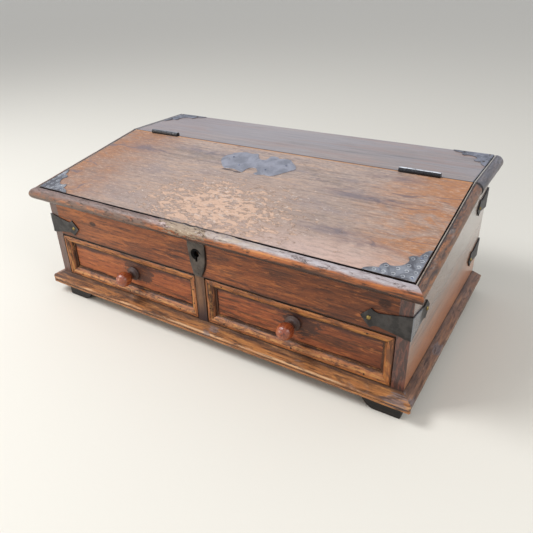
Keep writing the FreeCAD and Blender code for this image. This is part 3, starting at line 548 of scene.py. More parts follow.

# %% [markdown]
# ## The mouldings
# Mouldings stand out, so they are knocked and polished most. On the lid's front nosing the pale
# grey band along the top is painted sheen, and the rolled half below keeps its orange polish,
# pitted with dark dents, with painted shade along its underside and in the groove behind it;
# above the lock, where fingers lift the lid, the polish is gone. The masks follow the section:
# how far up the nosing, and how far out from the panel, a point lies.

# %% Front nosing finish
wood("front_nosing_polish", RUN_X, "4a2a1a", "a05a2b", "c98244", 0.4, lid_start, lid_turn)
level = where("Z", rim_start, lid_turn)
height = plus(level, both(noise((0.045, 0.008, 0.008), 5, 0.66), 0.009))
blotch = noise((0.02, 0.006, 0.006), 6, 0.68, 0.8, (0.2, 0.2, 0.2))
pits = noise((0.016, 0.0042, 0.0042), 7, 0.74, 0.7)
# painted shade along the underside of the rolled nose
stain(height, 0.0148, 0.0122, "2a1912", 0.95)
tint(stripe(level, 0.0012, 0.0018, 0.0028, 0.0036), "8a7769")
# the pale band along the top is painted sheen, with blotches on its left
top_band_sheen = band(plus(height, both(pits, 0.004)), 0.0216, 0.0252)
tint(both(top_band_sheen, above("X", -0.05, 0.12, 0.75, 0.95)), "8f7f7d")
sheen = both(top_band_sheen, band(level, 0.015, 0.018), above("X", -0.02, 0.1),
             above("X", 0.316, 0.296, 0.35, 1))
tint(both(sheen, band(pits, 0.6, 0.4, 0.3, 0.8)), "b3aeb2")
cream_sheen = spot(on_lid(0.075, -0.014, 0.017), (0.09, 0.03, 0.03), lid_turn)
tint(both(top_band_sheen, cream_sheen, band(blotch, 0.6, 0.4, 0.3, 0.95)), "a08d78")
rough_side = above("X", 0.1, 0.02, 0.25, 1.0)
tint(both(top_band_sheen, band(blotch, 0.52, 0.6), rough_side), "604f4a")
tint(both(top_band_sheen, band(blotch, 0.44, 0.36), rough_side), "cabdb8", 0.6)
tint(both(above("X", -0.045, -0.075, 0, 0.95), band(blotch, 0.62, 0.42, 0.35, 1.0)), "634e43")
pitted = band(pits, 0.57, 0.63, 0, 0.95)
tint(both(pitted, band(height, 0.02, 0.017, 0.15, 1.0)), "21130e")
held = spot(on_lid(0.0, -0.014, 0.017), (0.085, 0.03, 0.018), lid_turn)
bare = thinning(blotch, held, 0.3, 0.74)
tint(bare, "9b8873", 0.9)
tint(both(bare, band(pits, 0.52, 0.6)), "5d4737", 0.8)
tint(both(bare, band(pits, 0.44, 0.38)), "c9bba4", 0.7)
inward = where("Y", rim_start, lid_turn)
# painted shade in the groove, reaching deeper where hands wore the nosing
stain(inward, -lid_overhang - 0.0034, -lid_overhang - 0.0022, "150e0b")
deeper = both(band(inward, -lid_overhang - 0.0052, -lid_overhang - 0.004), band(held, 0.1, 0.3))
tint(deeper, "1d1410", 0.9)
raise_by(pitted, -0.0006)
raise_by(bare, -0.0004)
raise_by(both(blotch, rough_side), 0.0006)
dull(bare, 0.65)
front_nosing_polish = complete()


# %% Side nosing finishes
def side_nosing_finish(name, dark, middle, light, patch, share):
    wood(name, RUN_Y, dark, middle, light, 0.42, lid_start, lid_turn, 0.8)
    patches = noise((0.006, 0.028, 0.006), 7, 0.7, 0.6)
    by_front = above("Y", seam - 0.02, front + 0.03, 0.45, 1)
    tint(both(band(patches, 0.44, 0.62, 0, share), by_front), patch)
    grey = noise((0.008, 0.03, 0.008), 7, 0.7, 0.4, (0.3, 0.1, 0.2))
    stain(grey, 0.53, 0.63, "8f8681", 0.42)
    stain(noise((0.003, 0.0066, 0.003), 6, 0.76, 0.4, (0.1, 0.3, 0.4)), 0.52, 0.62, "33251f", 0.75)
    tint(stripe(where("Y"), seam - 0.0034, seam - 0.0022, seam + 0.0022, seam + 0.0034), "1a120e")
    out = minus(aside(), half_width)
    # a painted highlight on the bead, and painted shade in the quirk beside it
    bead_highlight = stripe(out, 0.001, 0.0014, 0.0026, 0.0032)
    tint(both(bead_highlight, 0.8, band(grey, 0.36, 0.52, 0.2, 1)), "a9a298")
    tint(stripe(out, 0.0028, 0.0033, 0.0044, 0.0052), "2f2520", 0.9)
    stain(out, 0.0009, 0.0005, "150e0b")
    return complete(0.45)


side_nosing_polish = side_nosing_finish(
    "side_nosing_polish", "43352f", "775a48", "95725a", "a2683f", 0.8)
top_nosing_polish = side_nosing_finish(
    "top_nosing_polish", "3c3a3d", "5b575a", "77737a", "7c6353", 0.6)


# %% Base moulding finish
def base_finish(name, run, dark, middle, light, worn):
    wood(name, run, dark, middle, light, 0.45, (0.15, 0.35, 0.6), flecked=0.6)
    z = where("Z")
    out = larger(minus(front, where("Y")), plus(minus(aside(), half_width), 0.003))
    rub = noise(drawn_out(run, 0.04, 0.012, 0.005), 6, 0.68, 0.6)
    # darker near the case: dark patina with painted shade
    stain(plus(out, both(rub, 0.022)), 0.024, 0.012, "48342a", 0.8)
    # a pale line on the arris: wear and painted highlight, its share set by worn
    arris = both(band(plus(z, both(rub, 0.004)), 0.0284, 0.0296), band(out, 0.016, 0.0176))
    tint(both(arris, worn, band(rub, 0.56, 0.42)), "dcb78c")
    tint(stripe(z, 0.023, 0.0236, 0.0244, 0.025), "2a1a13", 0.7)
    stain(noise((0.07, 0.07, 0.02), 6, 0.66, 0.8, (0.1, 0.4, 0.3)), 0.56, 0.66, "77706f", 0.5)
    for x, y in ((0.3, -0.17), (0.02, -0.175), (0.312, -0.05)):
        bumped = spot((x, y, 0.028), (0.035, 0.035, 0.012))
        tint(thinning(rub, bumped, 0.4, 0.72), "6f6d72", 0.6)
    specks = noise(drawn_out(run, 0.034, 0.0045, 0.0032), 8, 0.76, 0.3, (0.5, 0.2, 0.3))
    stain(specks, 0.51, 0.62, "3b2b24", 0.85)
    stain(specks, 0.48, 0.34, "c58a50", worn + 0.15)
    dark_rub = band(rub, 0.56, 0.66, 0, 0.65)
    tint(dark_rub, "452f23")
    raise_by(dark_rub, -0.0005)
    return complete(0.35)


base_front_polish = base_finish("base_front_polish", RUN_X, "5f3d26", "a66d40", "c2864a", 0.55)
base_side_polish = base_finish("base_side_polish", RUN_Y, "4d3a30", "866450", "9a7862", 0.2)

# %% [markdown]
# ## Drawers, knobs and feet
# The drawer panels are red-brown, dark with dirt along the frames, darker under the top rail, with
# grime and painted shadow round the knobs and painted shade towards the right. The planted frames
# are orange and worn, with a painted highlight along their crest and dark lines in their grooves.
# Both drawers mirror each other, so one measure serves for both: how far a point lies inside its
# drawer's outline. The knobs are the most handled things on the box, so they are the glossiest;
# their collars and the lower left of their balls get painted shade.

# %% How far inside a drawer's outline
(drawer_near, _, drawer_foot), (drawer_far, _, drawer_top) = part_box("drawer_frame_right")


def inside_drawer():
    """The distance to the nearest end of the drawer's front, and to its nearest long edge."""
    x, z = aside(), where("Z")
    ends = smaller(minus(x, drawer_near), minus(drawer_far, x))
    rails = smaller(minus(z, drawer_foot), minus(drawer_top, z))
    return ends, rails


# %% Drawer front finish
panel_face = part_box("drawer_frame_left")[1].y
knob_spots = [tuple((low + high) / 2 for low, high in zip(*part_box("drawer_knob_" + side)))
              for side in ("left", "right")]
wood("drawer_polish", RUN_X, "43261d", "8a4629", "b4693a", 0.44, (0.5, 0.8, 0.2), flecked=0.9)
# painted light at the left and painted shade towards the right
tint(above("X", -0.29, -0.06, 0.25, 0.15), "b06a3c")
tint(above("X", 0.1, 0.28, 0, 0.5), "43261a")
dirt_and_shade = noise((0.03, 0.02, 0.012), 6, 0.66, 0.6)
# round each knob: grime, with painted shadow to the upper right
for x, y, z in knob_spots:
    grime_and_shadow = spot((x + 0.012, front, z + 0.004), (0.055, 0.08, 0.036))
    tint(thinning(dirt_and_shade, grime_and_shadow, 0.3, 0.7), "3b2b26", 0.8)
# darker in a band under the top rail
stain(plus(minus(drawer_top, where("Z")), both(dirt_and_shade, 0.016)), 0.033, 0.024, "33272a", 0.75)
specks = noise((0.024, 0.02, 0.0042), 8, 0.76, 0.3, (0.6, 0.1, 0.3))
stain(specks, 0.52, 0.66, "3f271f", 0.75)
stain(specks, 0.47, 0.33, "bf7440", 0.5)
stain(plus(smaller(*inside_drawer()), both(dirt_and_shade, 0.01)), 0.0215, 0.0196, "1c1310", 0.9)
bare_inside(above("Y", panel_face + 0.002, panel_face + 0.004))
drawer_polish = complete(0.35)


# %% Drawer frame finishes
def frame_finish(name, run):
    wood(name, run, "4f2e1d", "9d6037", "b97b45", 0.44, (0.25, 0.15, 0.45), flecked=0.8)
    ends, rails = inside_drawer()
    inward = smaller(ends, rails)
    rub = noise((0.022, 0.02, 0.022), 6, 0.68, 0.6)
    outer = plus(inward, both(rub, 0.0012))
    tint(both(band(outer, 0.0016, 0.0008), above("Y", front + 0.0035, front + 0.0015)), "1d130e")
    stain(unsigned(minus(ends, rails)), 0.0008, 0.0003, "24170f", 0.85)
    stain(outer, 0.0112, 0.0128, "2b1b14", 0.85)
    # a pale line along the frame's crest: wear and painted highlight
    worn_highlight_line = stripe(inward, 0.0054, 0.0062, 0.0076, 0.0096)
    tint(both(worn_highlight_line, band(rub, 0.56, 0.44, 0, 0.45)), "d39c58")
    specks = noise(drawn_out(run, 0.02, 0.0026), 8, 0.78, 0.3, (0.5, 0.2, 0.3))
    stain(specks, 0.52, 0.6, "311d15", 0.95)
    stain(specks, 0.46, 0.36, "d0904c", 0.65)
    stain(rub, 0.54, 0.62, "573a2a", 0.7)
    # painted shade towards the right
    tint(above("X", 0.12, 0.28, 0, 0.15), "6b4229")
    return complete(0.35)


frame_polish = frame_finish("frame_polish", RUN_X)
frame_polish_upright = frame_finish("frame_polish_upright", RUN_Z)

# %% Knob and foot finishes
wood("knob_polish", RUN_Y, "55291a", "8e4526", "a55c2e", 0.2, (0.11, 0.3, 0.5), flecked=0.5)
for x, y, z in knob_spots:
    # painted shade on the lower left of each ball
    knob_shade = spot((x - 0.008, front - 0.018, z - 0.008), (0.014, 0.02, 0.012))
    tint(knob_shade, "6b4c3d", 0.45)
# the collar is darker: grime and painted shade behind the ball
collar = above("Y", front - 0.0045, front - 0.0015)
tint(collar, "3d2419")
dull(collar, 0.6)
knob_polish = complete(0.75)
wood("foot_stain", RUN_X, "0e0c0b", "1a1715", "2a2420", 0.5, (0.3, 0.3, 0.3))
foot_stain = complete(0.3)
wood("peg_stain", RUN_Y, "1d1512", "2c1f19", "3d2b21", 0.55, (0.3, 0.3, 0.3))
peg_stain = complete(0.3)

# %% [markdown]
# ## Iron and brass
# Old iron is never one grey: it is darker where it is rough, bluish where it was heated, brown
# where rust has started, and bright where it is rubbed. The layers are the same as for wood, on a
# metal.


# %% Iron finishes
def iron_layers(name, dark, light, rust, rough):
    """Grey in clouds, with rust spots and the marks of the hammer."""
    begin(name, dark, rough)
    clouds = noise((0.02, 0.02, 0.02), 5, 0.6, 0.4)
    hammer = noise((0.006, 0.006, 0.006), 3, 0.5)
    stain(clouds, 0.38, 0.64, light)
    spots_of_rust = noise((0.011, 0.011, 0.011), 6, 0.7, 0.6, (0.2, 0.3, 0.1))
    rusty = band(spots_of_rust, 0.58, 0.68, 0, 0.5)
    tint(rusty, rust)
    dull(rusty, 0.75)
    raise_by(hammer, 0.0006)
    raise_by(clouds, 0.0005)


def iron(name, dark, light, rust, rough, shine):
    iron_layers(name, dark, light, rust, rough)
    return complete(Metallic=shine)


plate_iron = iron("plate_iron", "605f62", "9b9c9f", "6f6962", 0.45, 0.75)
top_plate_iron = iron("top_plate_iron", "5b5b61", "8a8a92", "676260", 0.45, 0.75)
crest_iron = iron("crest_plate_iron", "86868c", "a1a0a7", "85807f", 0.5, 0.7)
mark_iron = iron("plate_iron_rubbed", "b1b2b4", "d6d6d2", "a39f98", 0.38, 0.7)
top_mark_iron = iron("top_plate_rubbed", "8e8e92", "a9a9af", "84817f", 0.4, 0.7)
lock_iron = iron("lock_iron", "5b5854", "787570", "5a493c", 0.45, 0.8)
pin_iron = iron("pin_iron", "5f6270", "7d8190", "5f5a5c", 0.5, 0.7)
screw_steel = iron("screw_steel", "6c6a66", "8d8b87", "66564a", 0.4, 0.9)
nail_brass = iron("nail_brass", "7d6a3c", "b39a5c", "5a4a2e", 0.38, 0.9)

# %% Strap finish
# Dark forged iron, with a painted reflection: pale on its side leg next to the front corner.
iron_layers("strap_iron", "2b2928", "454240", "3c3029", 0.5)
near = plus(where("Y"), both(noise((0.012, 0.02, 0.012), 5, 0.7, 0.4), 0.03))
bright_mark = both(band(aside(), half_width + 0.0006, half_width + 0.0014),
              band(near, front + 0.052, front + 0.03))
tint(bright_mark, "a6aab0", 0.6)
dull(bright_mark, 0.18)
strap_iron = complete(Metallic=0.5)

# %% Hinge finish
# Nearly black iron, with a painted highlight: a bright line along the top, strongest on the right
# hinge.
barrel_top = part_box("hinge_lid_leaf_right")[1].z
iron_layers("hinge_iron", "131214", "1f1e21", "211a15", 0.3)
smear = band(noise((0.03, 0.004, 0.004), 4, 0.6), 0.66, 0.44, 0.3, 1)
bright_mark = above("Z", barrel_top - 0.0007, barrel_top - 0.0003)
tint(both(bright_mark, smear, above("X", -0.1, 0.1, 0.25, 1)), "e6eaf2")
hinge_iron = complete(0.35)

# %% Escutcheon finish
# Brown-black iron, with painted light and shade in its dish: black shade on its upper left, and a
# paler lit part on its lower right.
iron_layers("escutcheon_iron", "423d39", "5d554e", "40362f", 0.5)
stain(spot((0.0008, front, keyhole.z + 0.0002), (0.0125, 0.05, 0.0125)), 0.22, 0.42, "6f6862", 0.8)
inner = band(spot(keyhole, (0.013, 0.05, 0.013)), 0.22, 0.3)
lit = band(spot((0.005, front, keyhole.z - 0.0048), (0.0115, 0.05, 0.0125)), 0.22, 0.6)
shaded = both(inner, minus(1.0, lit))
tint(shaded, "060505")
dull(shaded, 0.95)
tint(both(inner, lit), "2a2623", 0.6)
escutcheon_iron = complete(0.3, Metallic=0.4)

# %% [markdown]
# ## Working by hand
# The new pieces are made with the same tools as at the screen: a primitive is added, shaped in
# edit mode and finished with modifiers. A tool acts on everything that is selected, so each piece
# starts with nothing selected.


# %% Moves that every piece needs
def mode(kind):
    bpy.ops.object.mode_set(mode=kind)


def fresh_start(*chosen):
    """Leaves edit mode and selects only the chosen pieces, if any."""
    if bpy.context.object and bpy.context.object.mode != "OBJECT":
        mode("OBJECT")
    bpy.ops.object.select_all(action="DESELECT")
    for piece in chosen:
        piece.select_set(True)
    if chosen:
        bpy.context.view_layer.objects.active = chosen[0]


def take_all():
    bpy.ops.mesh.select_all(action="SELECT")


def extrude(step):
    bpy.ops.mesh.extrude_region_move(TRANSFORM_OT_translate={"value": step})


def modify(piece, kind, **settings):
    """Leaves edit mode, gives the piece one modifier and applies it."""
    mode("OBJECT")
    modifier = piece.modifiers.new(kind, kind)
    for key, value in settings.items():
        setattr(modifier, key, value)
    bpy.ops.object.modifier_apply(modifier=modifier.name)


def round_edges(piece, width, segments, sharper_than=60):
    """Bevels the edges that are sharper than an angle in degrees."""
    modify(piece, "BEVEL", width=width, segments=segments, limit_method="ANGLE",
           angle_limit=math.radians(sharper_than))


def join(pieces, name):
    fresh_start(*pieces)
    bpy.ops.object.join()
    pieces[0].name = name
    return pieces[0]


# %% [markdown]
# ## Drawing and pulling a bar
# A moulding is one outline all along its length. At the bench it is cut with a plane; here a
# single corner point is extruded from place to place until it has drawn the outline, the outline
# is filled and then pulled out to a bar. Round parts of the outline are spun about their middle.


# %% Draw an outline
def start_corner(name, place):
    """A new piece that is only one corner point: a small plane with its corners merged."""
    fresh_start()
    bpy.ops.mesh.primitive_plane_add(size=MM, location=(0, 0, 0))
    piece = bpy.context.object
    piece.name = name
    mode("EDIT")
    bpy.context.tool_settings.mesh_select_mode = (True, False, False)
    take_all()
    bpy.ops.mesh.merge(type="CENTER")
    bpy.ops.transform.translate(value=place)
    return piece


def bow(*points):
    """The middle of the circle through three points, and the turn from first to last."""
    a, b, c = (complex(*point) for point in points)
    bend = (c - a) / (b - a)
    centre = a + (b - a) * (bend - abs(bend) ** 2) / (2j * bend.imag)
    first, middle, last = (cmath.phase(point - centre) for point in (a, b, c))
    turn = (last - first) % math.tau
    if (middle - first) % math.tau > turn:
        turn -= math.tau
    return (centre.real, centre.imag), turn


def trace(start, out, rise, moves, fineness=15, steps=None):
    """Draws on from a corner point through moves given in mm along out and rise.

    A move is a point, or (through, end) for an arc, spun in steps of about fineness degrees.
    """
    here = moves[0]
    for move in moves[1:]:
        if isinstance(move[0], tuple):
            (u, w), turn = bow(here, *move)
            bpy.ops.mesh.spin(steps=steps or max(2, round(abs(math.degrees(turn)) / fineness)),
                              angle=-turn, axis=out.cross(rise),
                              center=start + (out * u + rise * w) * MM)
            here = move[1]
        else:
            extrude((out * (move[0] - here[0]) + rise * (move[1] - here[1])) * MM)
            here = move


def draw_outline(name, start, out, rise, moves, fineness=15):
    """A new piece that is one closed and filled outline."""
    piece = start_corner(name, start + (out * moves[0][0] + rise * moves[0][1]) * MM)
    trace(start, out, rise, moves, fineness)
    take_all()
    bpy.ops.mesh.remove_doubles(threshold=0.01 * MM)
    bpy.ops.mesh.edge_face_add()
    return piece


# %% Pull it to a bar, cut it across and saw it
def pull(step, cuts=0):
    """Pulls the outline to a bar, and gives the bar as many cross lines as asked."""
    take_all()
    extrude(step)
    if cuts:
        shape = bmesh.from_edit_mesh(bpy.context.object.data)
        bpy.context.tool_settings.mesh_select_mode = (False, True, False)
        bpy.ops.mesh.select_all(action="DESELECT")
        for edge in shape.edges:
            run = edge.verts[1].co - edge.verts[0].co
            edge.select_set(abs(run.dot(step)) > 0.9 * step.length_squared)
        bpy.ops.mesh.subdivide(number_cuts=cuts)


def saw(place, facing):
    """Saws off all that lies on the facing side of a plane, and closes the cut."""
    take_all()
    bpy.ops.mesh.bisect(plane_co=place, plane_no=facing, use_fill=True, clear_outer=True)


def wear(piece, depth, size, group=""):
    """Sinks the surface unevenly, by up to depth, in patches of about size."""
    clouds = bpy.data.textures.new(piece.name + "_wear", "CLOUDS")
    clouds.noise_scale = size
    clouds.noise_depth = 3
    modify(piece, "DISPLACE", texture=clouds, texture_coords="LOCAL", mid_level=1.0, strength=depth,
           vertex_group=group)
    mode("EDIT")


def worn_bar(name, start, out, rise, outline, fineness, length, cuts, depth, size):
    """Draws an outline, pulls it to a bar with many cross lines, and wears it."""
    piece = draw_outline(name, start, out, rise, outline, fineness)
    pull(length, cuts)
    wear(piece, depth, size)
    return piece


# %% Finish a new piece
def dress(piece, polish):
    piece.data.materials.clear()
    piece.data.materials.append(polish)


def finish_piece(piece, body, slot, polish, *stands_for, corner=35):
    """Faces outward, smooth where the piece is round, with its finish, its body and its node."""
    bpy.context.view_layer.objects.active = piece
    mode("EDIT")
    take_all()
    bpy.ops.mesh.normals_make_consistent(inside=False)
    fresh_start(piece)
    bpy.ops.object.shade_smooth_by_angle(angle=math.radians(corner))
    if polish:
        dress(piece, polish)
    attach(piece, body)
    if stands_for:
        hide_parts(*stands_for)
    print(piece.name, "has", len(piece.data.polygons), "faces")


# %% [markdown]
# ## The lid's front nosing
# The nosing is a half-round bar glued along the lid's front edge, with a dark groove between it
# and the panel. Hands lift the lid above the lock, so there the top of the bar is broken away.
# The bar is pulled longer than needed, worn all over, worn deeper in that stretch, and then both
# ends are sawn to mitres. A sculpting brush would do the wear too, but the same dents come out
# each time here.

# %% The lid's nosing outline
nose_radius = lid_mm / 2
nose_reach = 13.8
groove_width = 2.6
nosing_outline = [(0, 0), (nose_reach - nose_radius, 0),
                  ((nose_reach, nose_radius), (nose_reach - nose_radius, lid_mm)),
                  (groove_width + 0.5, lid_mm), (groove_width, 19.0), (groove_width, 13.5),
                  (0, 13.5)]
lid_edge = half_width + nose_reach * MM

# %% The front nosing, worn by hands
spare = 10 * MM
start = on_lid(0, -lid_overhang, 0) - across * (lid_edge + spare)
bar = worn_bar("lid_front_nosing", start, -up_slope, off_slope, nosing_outline, 10,
               across * 2 * (lid_edge + spare), cuts=330, depth=0.9 * MM, size=22 * MM)
mode("OBJECT")
held = bar.vertex_groups.new(name="hands")
for corner in bar.data.vertices:
    off_middle = (corner.co.x - 0.012) / 0.066
    height = (corner.co - on_lid(0, 0, 10 * MM)).dot(off_slope)
    if abs(off_middle) < 1 and height > 0:
        held.add([corner.index], (1 - off_middle ** 4) * min(1, height / (6 * MM)), "REPLACE")
mode("EDIT")
wear(bar, depth=4.2 * MM, size=11 * MM, group="hands")
for side in (1, -1):
    saw(on_lid(side * half_width, -lid_overhang, 0), across * side + up_slope)
finish_piece(bar, "lid", "nosing_wood", front_nosing_polish, "lid_moulding_front")

# %% [markdown]
# ## The side nosings
# Along the right and left edges the same half-round runs on, with a small bead next to the panel.
# The lid's piece stops at the seam, and a second one on the fixed top goes on from there, so the
# line breaks when the lid opens. Both are short bars, drawn on the right and on the left.

# %% The beaded outline
eased = 2.6 * MM
seam_gap = 1.2 * MM
top_rear = back + 4.0 * MM
top_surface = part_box("top_board")[1].z


def beaded_outline(thickness):
    flat = nose_reach - nose_radius
    return [(0, 0), (flat, 0), ((nose_reach, thickness / 2), (flat, thickness)),
            (3.4, thickness - 0.2), (3.2, thickness - 1.2),
            ((2.1, thickness - 0.1), (0.9, thickness - 1.2)),
            (0.9, thickness - 6), (0, thickness - 6)]


def ease_end(side, surface, way):
    """Takes the corners off a nosing's end at the seam, so that the joint shows as a notch."""
    saw(surface, Vector((0, way, 1)))
    saw(Vector((side * lid_edge, surface.y, 0)), Vector((side, way, 0)))
    saw(Vector((side * (lid_edge - eased), surface.y, surface.z - eased)),
        Vector((side, 1.4 * way, 1)))


# %% Side nosings of the lid and of the fixed top
side_length = 0.27
end_along = (seam - eased - front + lid_thickness * math.sin(slope)) / math.cos(slope)
for side, hand in hands:
    start = on_lid(side * half_width, -lid_overhang - 2 * spare, 0)
    bar = worn_bar("lid_side_nosing_" + hand, start, across * side, off_slope,
                   beaded_outline(lid_mm), 12, up_slope * side_length, cuts=110,
                   depth=0.7 * MM, size=20 * MM)
    saw(on_lid(side * half_width, -lid_overhang, 0), -across * side - up_slope)
    saw(Vector((0, seam - seam_gap / 2, 0)), backward)
    ease_end(side, on_lid(0, end_along, lid_thickness), 1)
    finish_piece(bar, "lid", "nosing_wood", side_nosing_polish, "lid_moulding_" + hand)

    start = Vector((side * half_width, seam - spare, back_rim))
    bar = worn_bar("top_end_nosing_" + hand, start, across * side, upward,
                   beaded_outline((top_surface - back_rim) / MM), 12,
                   backward * (top_rear - seam + 2 * spare), cuts=70, depth=0.7 * MM, size=20 * MM)
    saw(Vector((0, seam + seam_gap / 2, 0)), forward)
    saw(Vector((0, top_rear, 0)), backward)
    ease_end(side, Vector((0, seam + eased, top_surface)), -1)
    finish_piece(bar, "case", "nosing_wood", top_nosing_polish, "top_moulding_" + hand)

# %% [markdown]
# ## The base moulding
# Under the drawers the box stands on a broad moulding: a flat fascia, a round nose and a slope up
# to the case. Its front corners are worn round, the left one more than the right. A fan of saw
# cuts rounds them: each takes off a little more of the corner, as a file would.

# %% The base outline and its rounded corners
foot_of_base = case_bottom - 14 * MM
base_reach = {"front": 20.0, "side": 15.4}


def base_outline(reach):
    fascia = reach - 1.0
    return [(0, 0), (fascia - 0.9, 0), (fascia, 0.9), (fascia, 4.4), (fascia - 1.4, 5.3),
            ((reach, 7.6), (fascia - 1.4, 9.9)), (0, 14)]


def round_corner(side, radius, cuts=6):
    """Saws the front corner of the base round, about an upright line set in by the radius."""
    middle = Vector((side * (half_width + (base_reach["side"] - radius) * MM),
                     front - (base_reach["front"] - radius) * MM, 0))
    for cut in range(1, cuts):
        turn = math.pi / 2 * cut / cuts
        facing = Vector((side * math.sin(turn), -math.cos(turn), 0))
        saw(middle + facing * radius * MM, facing)


corner_radius = {1: 6.0, -1: 15.0}

# %% Front and side mouldings
spare = 30 * MM
start = Vector((-half_width - spare, front, foot_of_base))
bar = worn_bar("base_front", start, forward, upward, base_outline(base_reach["front"]), 20,
               across * 2 * (half_width + spare), cuts=300, depth=0.8 * MM, size=16 * MM)
for side in (1, -1):
    saw(Vector((side * half_width, front, 0)), Vector((side, 1, 0)))
    round_corner(side, corner_radius[side])
finish_piece(bar, "case", "base_wood", base_front_polish, "base_moulding_front")

for side, hand in hands:
    start = Vector((side * half_width, front - spare - 10 * MM, foot_of_base))
    bar = worn_bar("base_" + hand, start, across * side, upward,
                   base_outline(base_reach["side"]), 20, backward * (back - front + 2 * spare),
                   cuts=180, depth=0.8 * MM, size=16 * MM)
    saw(Vector((side * half_width, front, 0)), Vector((-side, -1, 0)))
    round_corner(side, corner_radius[side])
    saw(Vector((0, back, 0)), backward)
    finish_piece(bar, "case", "base_wood", base_side_polish, "base_moulding_" + hand)

# %% [markdown]
# ## The drawer frames
# Each drawer front wears a picture frame of moulding: a rounded bar that falls towards the panel
# and has a small step at its foot. Four strips meet in mitres, each with its grain along its own
# length. The strips are joined into one frame, with two finishes, and held by small dark pegs.

# %% The strips of one frame
frame_wide, frame_high = 15.0, 8.0
frame_outline = [(0, 0.3), (0.2, 6.7), ((0.7, 7.6), (1.8, 7.9)), ((4.0, frame_high), (6.0, 7.6)),
                 ((9.6, 5.8), (12.4, 2.6)), (12.6, 1.5), (frame_wide, 1.4), (frame_wide, 0), (0, 0)]


def frame_strip(name, corner, run, inward, length):
    """One strip: it starts at a corner, goes along run, and its section points inward."""
    start = Vector((corner[0], panel_face, corner[1]))
    piece = worn_bar(name, start, inward, forward, frame_outline, 18, run * length,
                     cuts=max(4, round(length / (4 * MM))), depth=0.5 * MM, size=14 * MM)
    saw(start, inward - run)
    saw(start + run * length, inward + run)
    return piece


# %% Frame both drawers
for hand in ("left", "right"):
    (low, _, foot), (high, _, top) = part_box("drawer_frame_" + hand)
    wide, tall = high - low, top - foot
    plan = ((across, upward, (low, foot), wide), (across, -upward, (low, top), wide),
            (upward, across, (low, foot), tall), (upward, -across, (high, foot), tall))
    strips = []
    for number, (run, inward, corner, length) in enumerate(plan):
        strip = frame_strip(f"frame_strip_{hand}_{number}", corner, run, inward, length)
        mode("OBJECT")
        strip.data.materials.append(frame_polish if run == across else frame_polish_upright)
        strips.append(strip)
    finish_piece(join(strips, "drawer_frame_planted_" + hand), "drawer_" + hand, "frame_wood", None,
                 "drawer_frame_" + hand)

# %% Peg the frames
peg_radius, peg_in = 1.5 * MM, 5.0 * MM
for hand in ("left", "right"):
    (low, _, foot), (high, _, top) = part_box("drawer_frame_" + hand)
    places = [(x, z) for x in (low + 0.028, high - 0.034, (low + high) / 2)
              for z in (foot + peg_in, top - peg_in)]
    places += [(x, foot + part * (top - foot)) for x in (low + peg_in, high - peg_in)
               for part in (0.34, 0.66)]
    for number, (x, z) in enumerate(places):
        fresh_start()
        place_in_frame = (x, panel_face - (frame_high - 1.7) * MM, z)
        bpy.ops.mesh.primitive_cylinder_add(vertices=10, radius=peg_radius, depth=3 * MM,
                                            location=place_in_frame,
                                            rotation=(math.pi / 2, 0.3 * number, 0))
        peg = bpy.context.object
        mode("EDIT")
        take_all()
        bpy.ops.mesh.bevel(offset=0.4 * MM, segments=2)
        peg.name = f"frame_peg_{hand}_{number}"
        finish_piece(peg, "drawer_" + hand, "frame_wood", peg_stain)
print("pegged both frames")

# %% [markdown]
# ## The knobs
# A knob is turned on a lathe, and spinning half of its outline does just that. The collar has a
# small round edge, the neck is a cove, and the ball is a little flattened at its front.

# %% Turn the knobs
for hand in ("left", "right"):
    (low_x, ball_front, low_z), (high_x, _, high_z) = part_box("drawer_knob_" + hand)
    middle = Vector(((low_x + high_x) / 2, panel_face, (low_z + high_z) / 2))
    knob_outline = [(0, 0), (0, 10.6), ((0.5, 11.1), (1.6, 11.2)), ((2.9, 10.9), (3.6, 9.8)),
                    (3.7, 8.2), ((5.4, 6.6), (9.6, 5.9)), (12.2, 6.6), ((19.6, 11.3), (24.2, 11.4)),
                    ((31.4, 8.0), ((panel_face - ball_front) / MM, 0))]
    knob = start_corner("drawer_knob_turned_" + hand, middle)
    trace(middle, forward, across, knob_outline, steps=7)
    take_all()
    bpy.ops.mesh.spin(steps=48, angle=math.tau, center=middle, axis=forward)
    take_all()
    bpy.ops.mesh.remove_doubles(threshold=0.02 * MM)
    finish_piece(knob, "drawer_" + hand, "knob_wood", knob_polish, "drawer_knob_" + hand, corner=50)

# %% [markdown]
# ## The iron corner straps
# Each strap is one forged strip bent round a corner of the case, with a pointed, flared end on
# each side. It starts as a short upright edge at one tip. The edge is extruded from station to
# station round the corner and scaled up or down at each, and the strip then gets its thickness
# and rounded arrises, and the dents of the hammer. One kind of strap serves at the three places
# on the right, and is mirrored for the left.

# %% Forge one strap on the right front corner
strap_stations = ((60.5, 1.2), (48.0, 26.6), (44.5, 21.0), (39.5, 17.8), (20.0, 24.6), (0.0, 32.4))


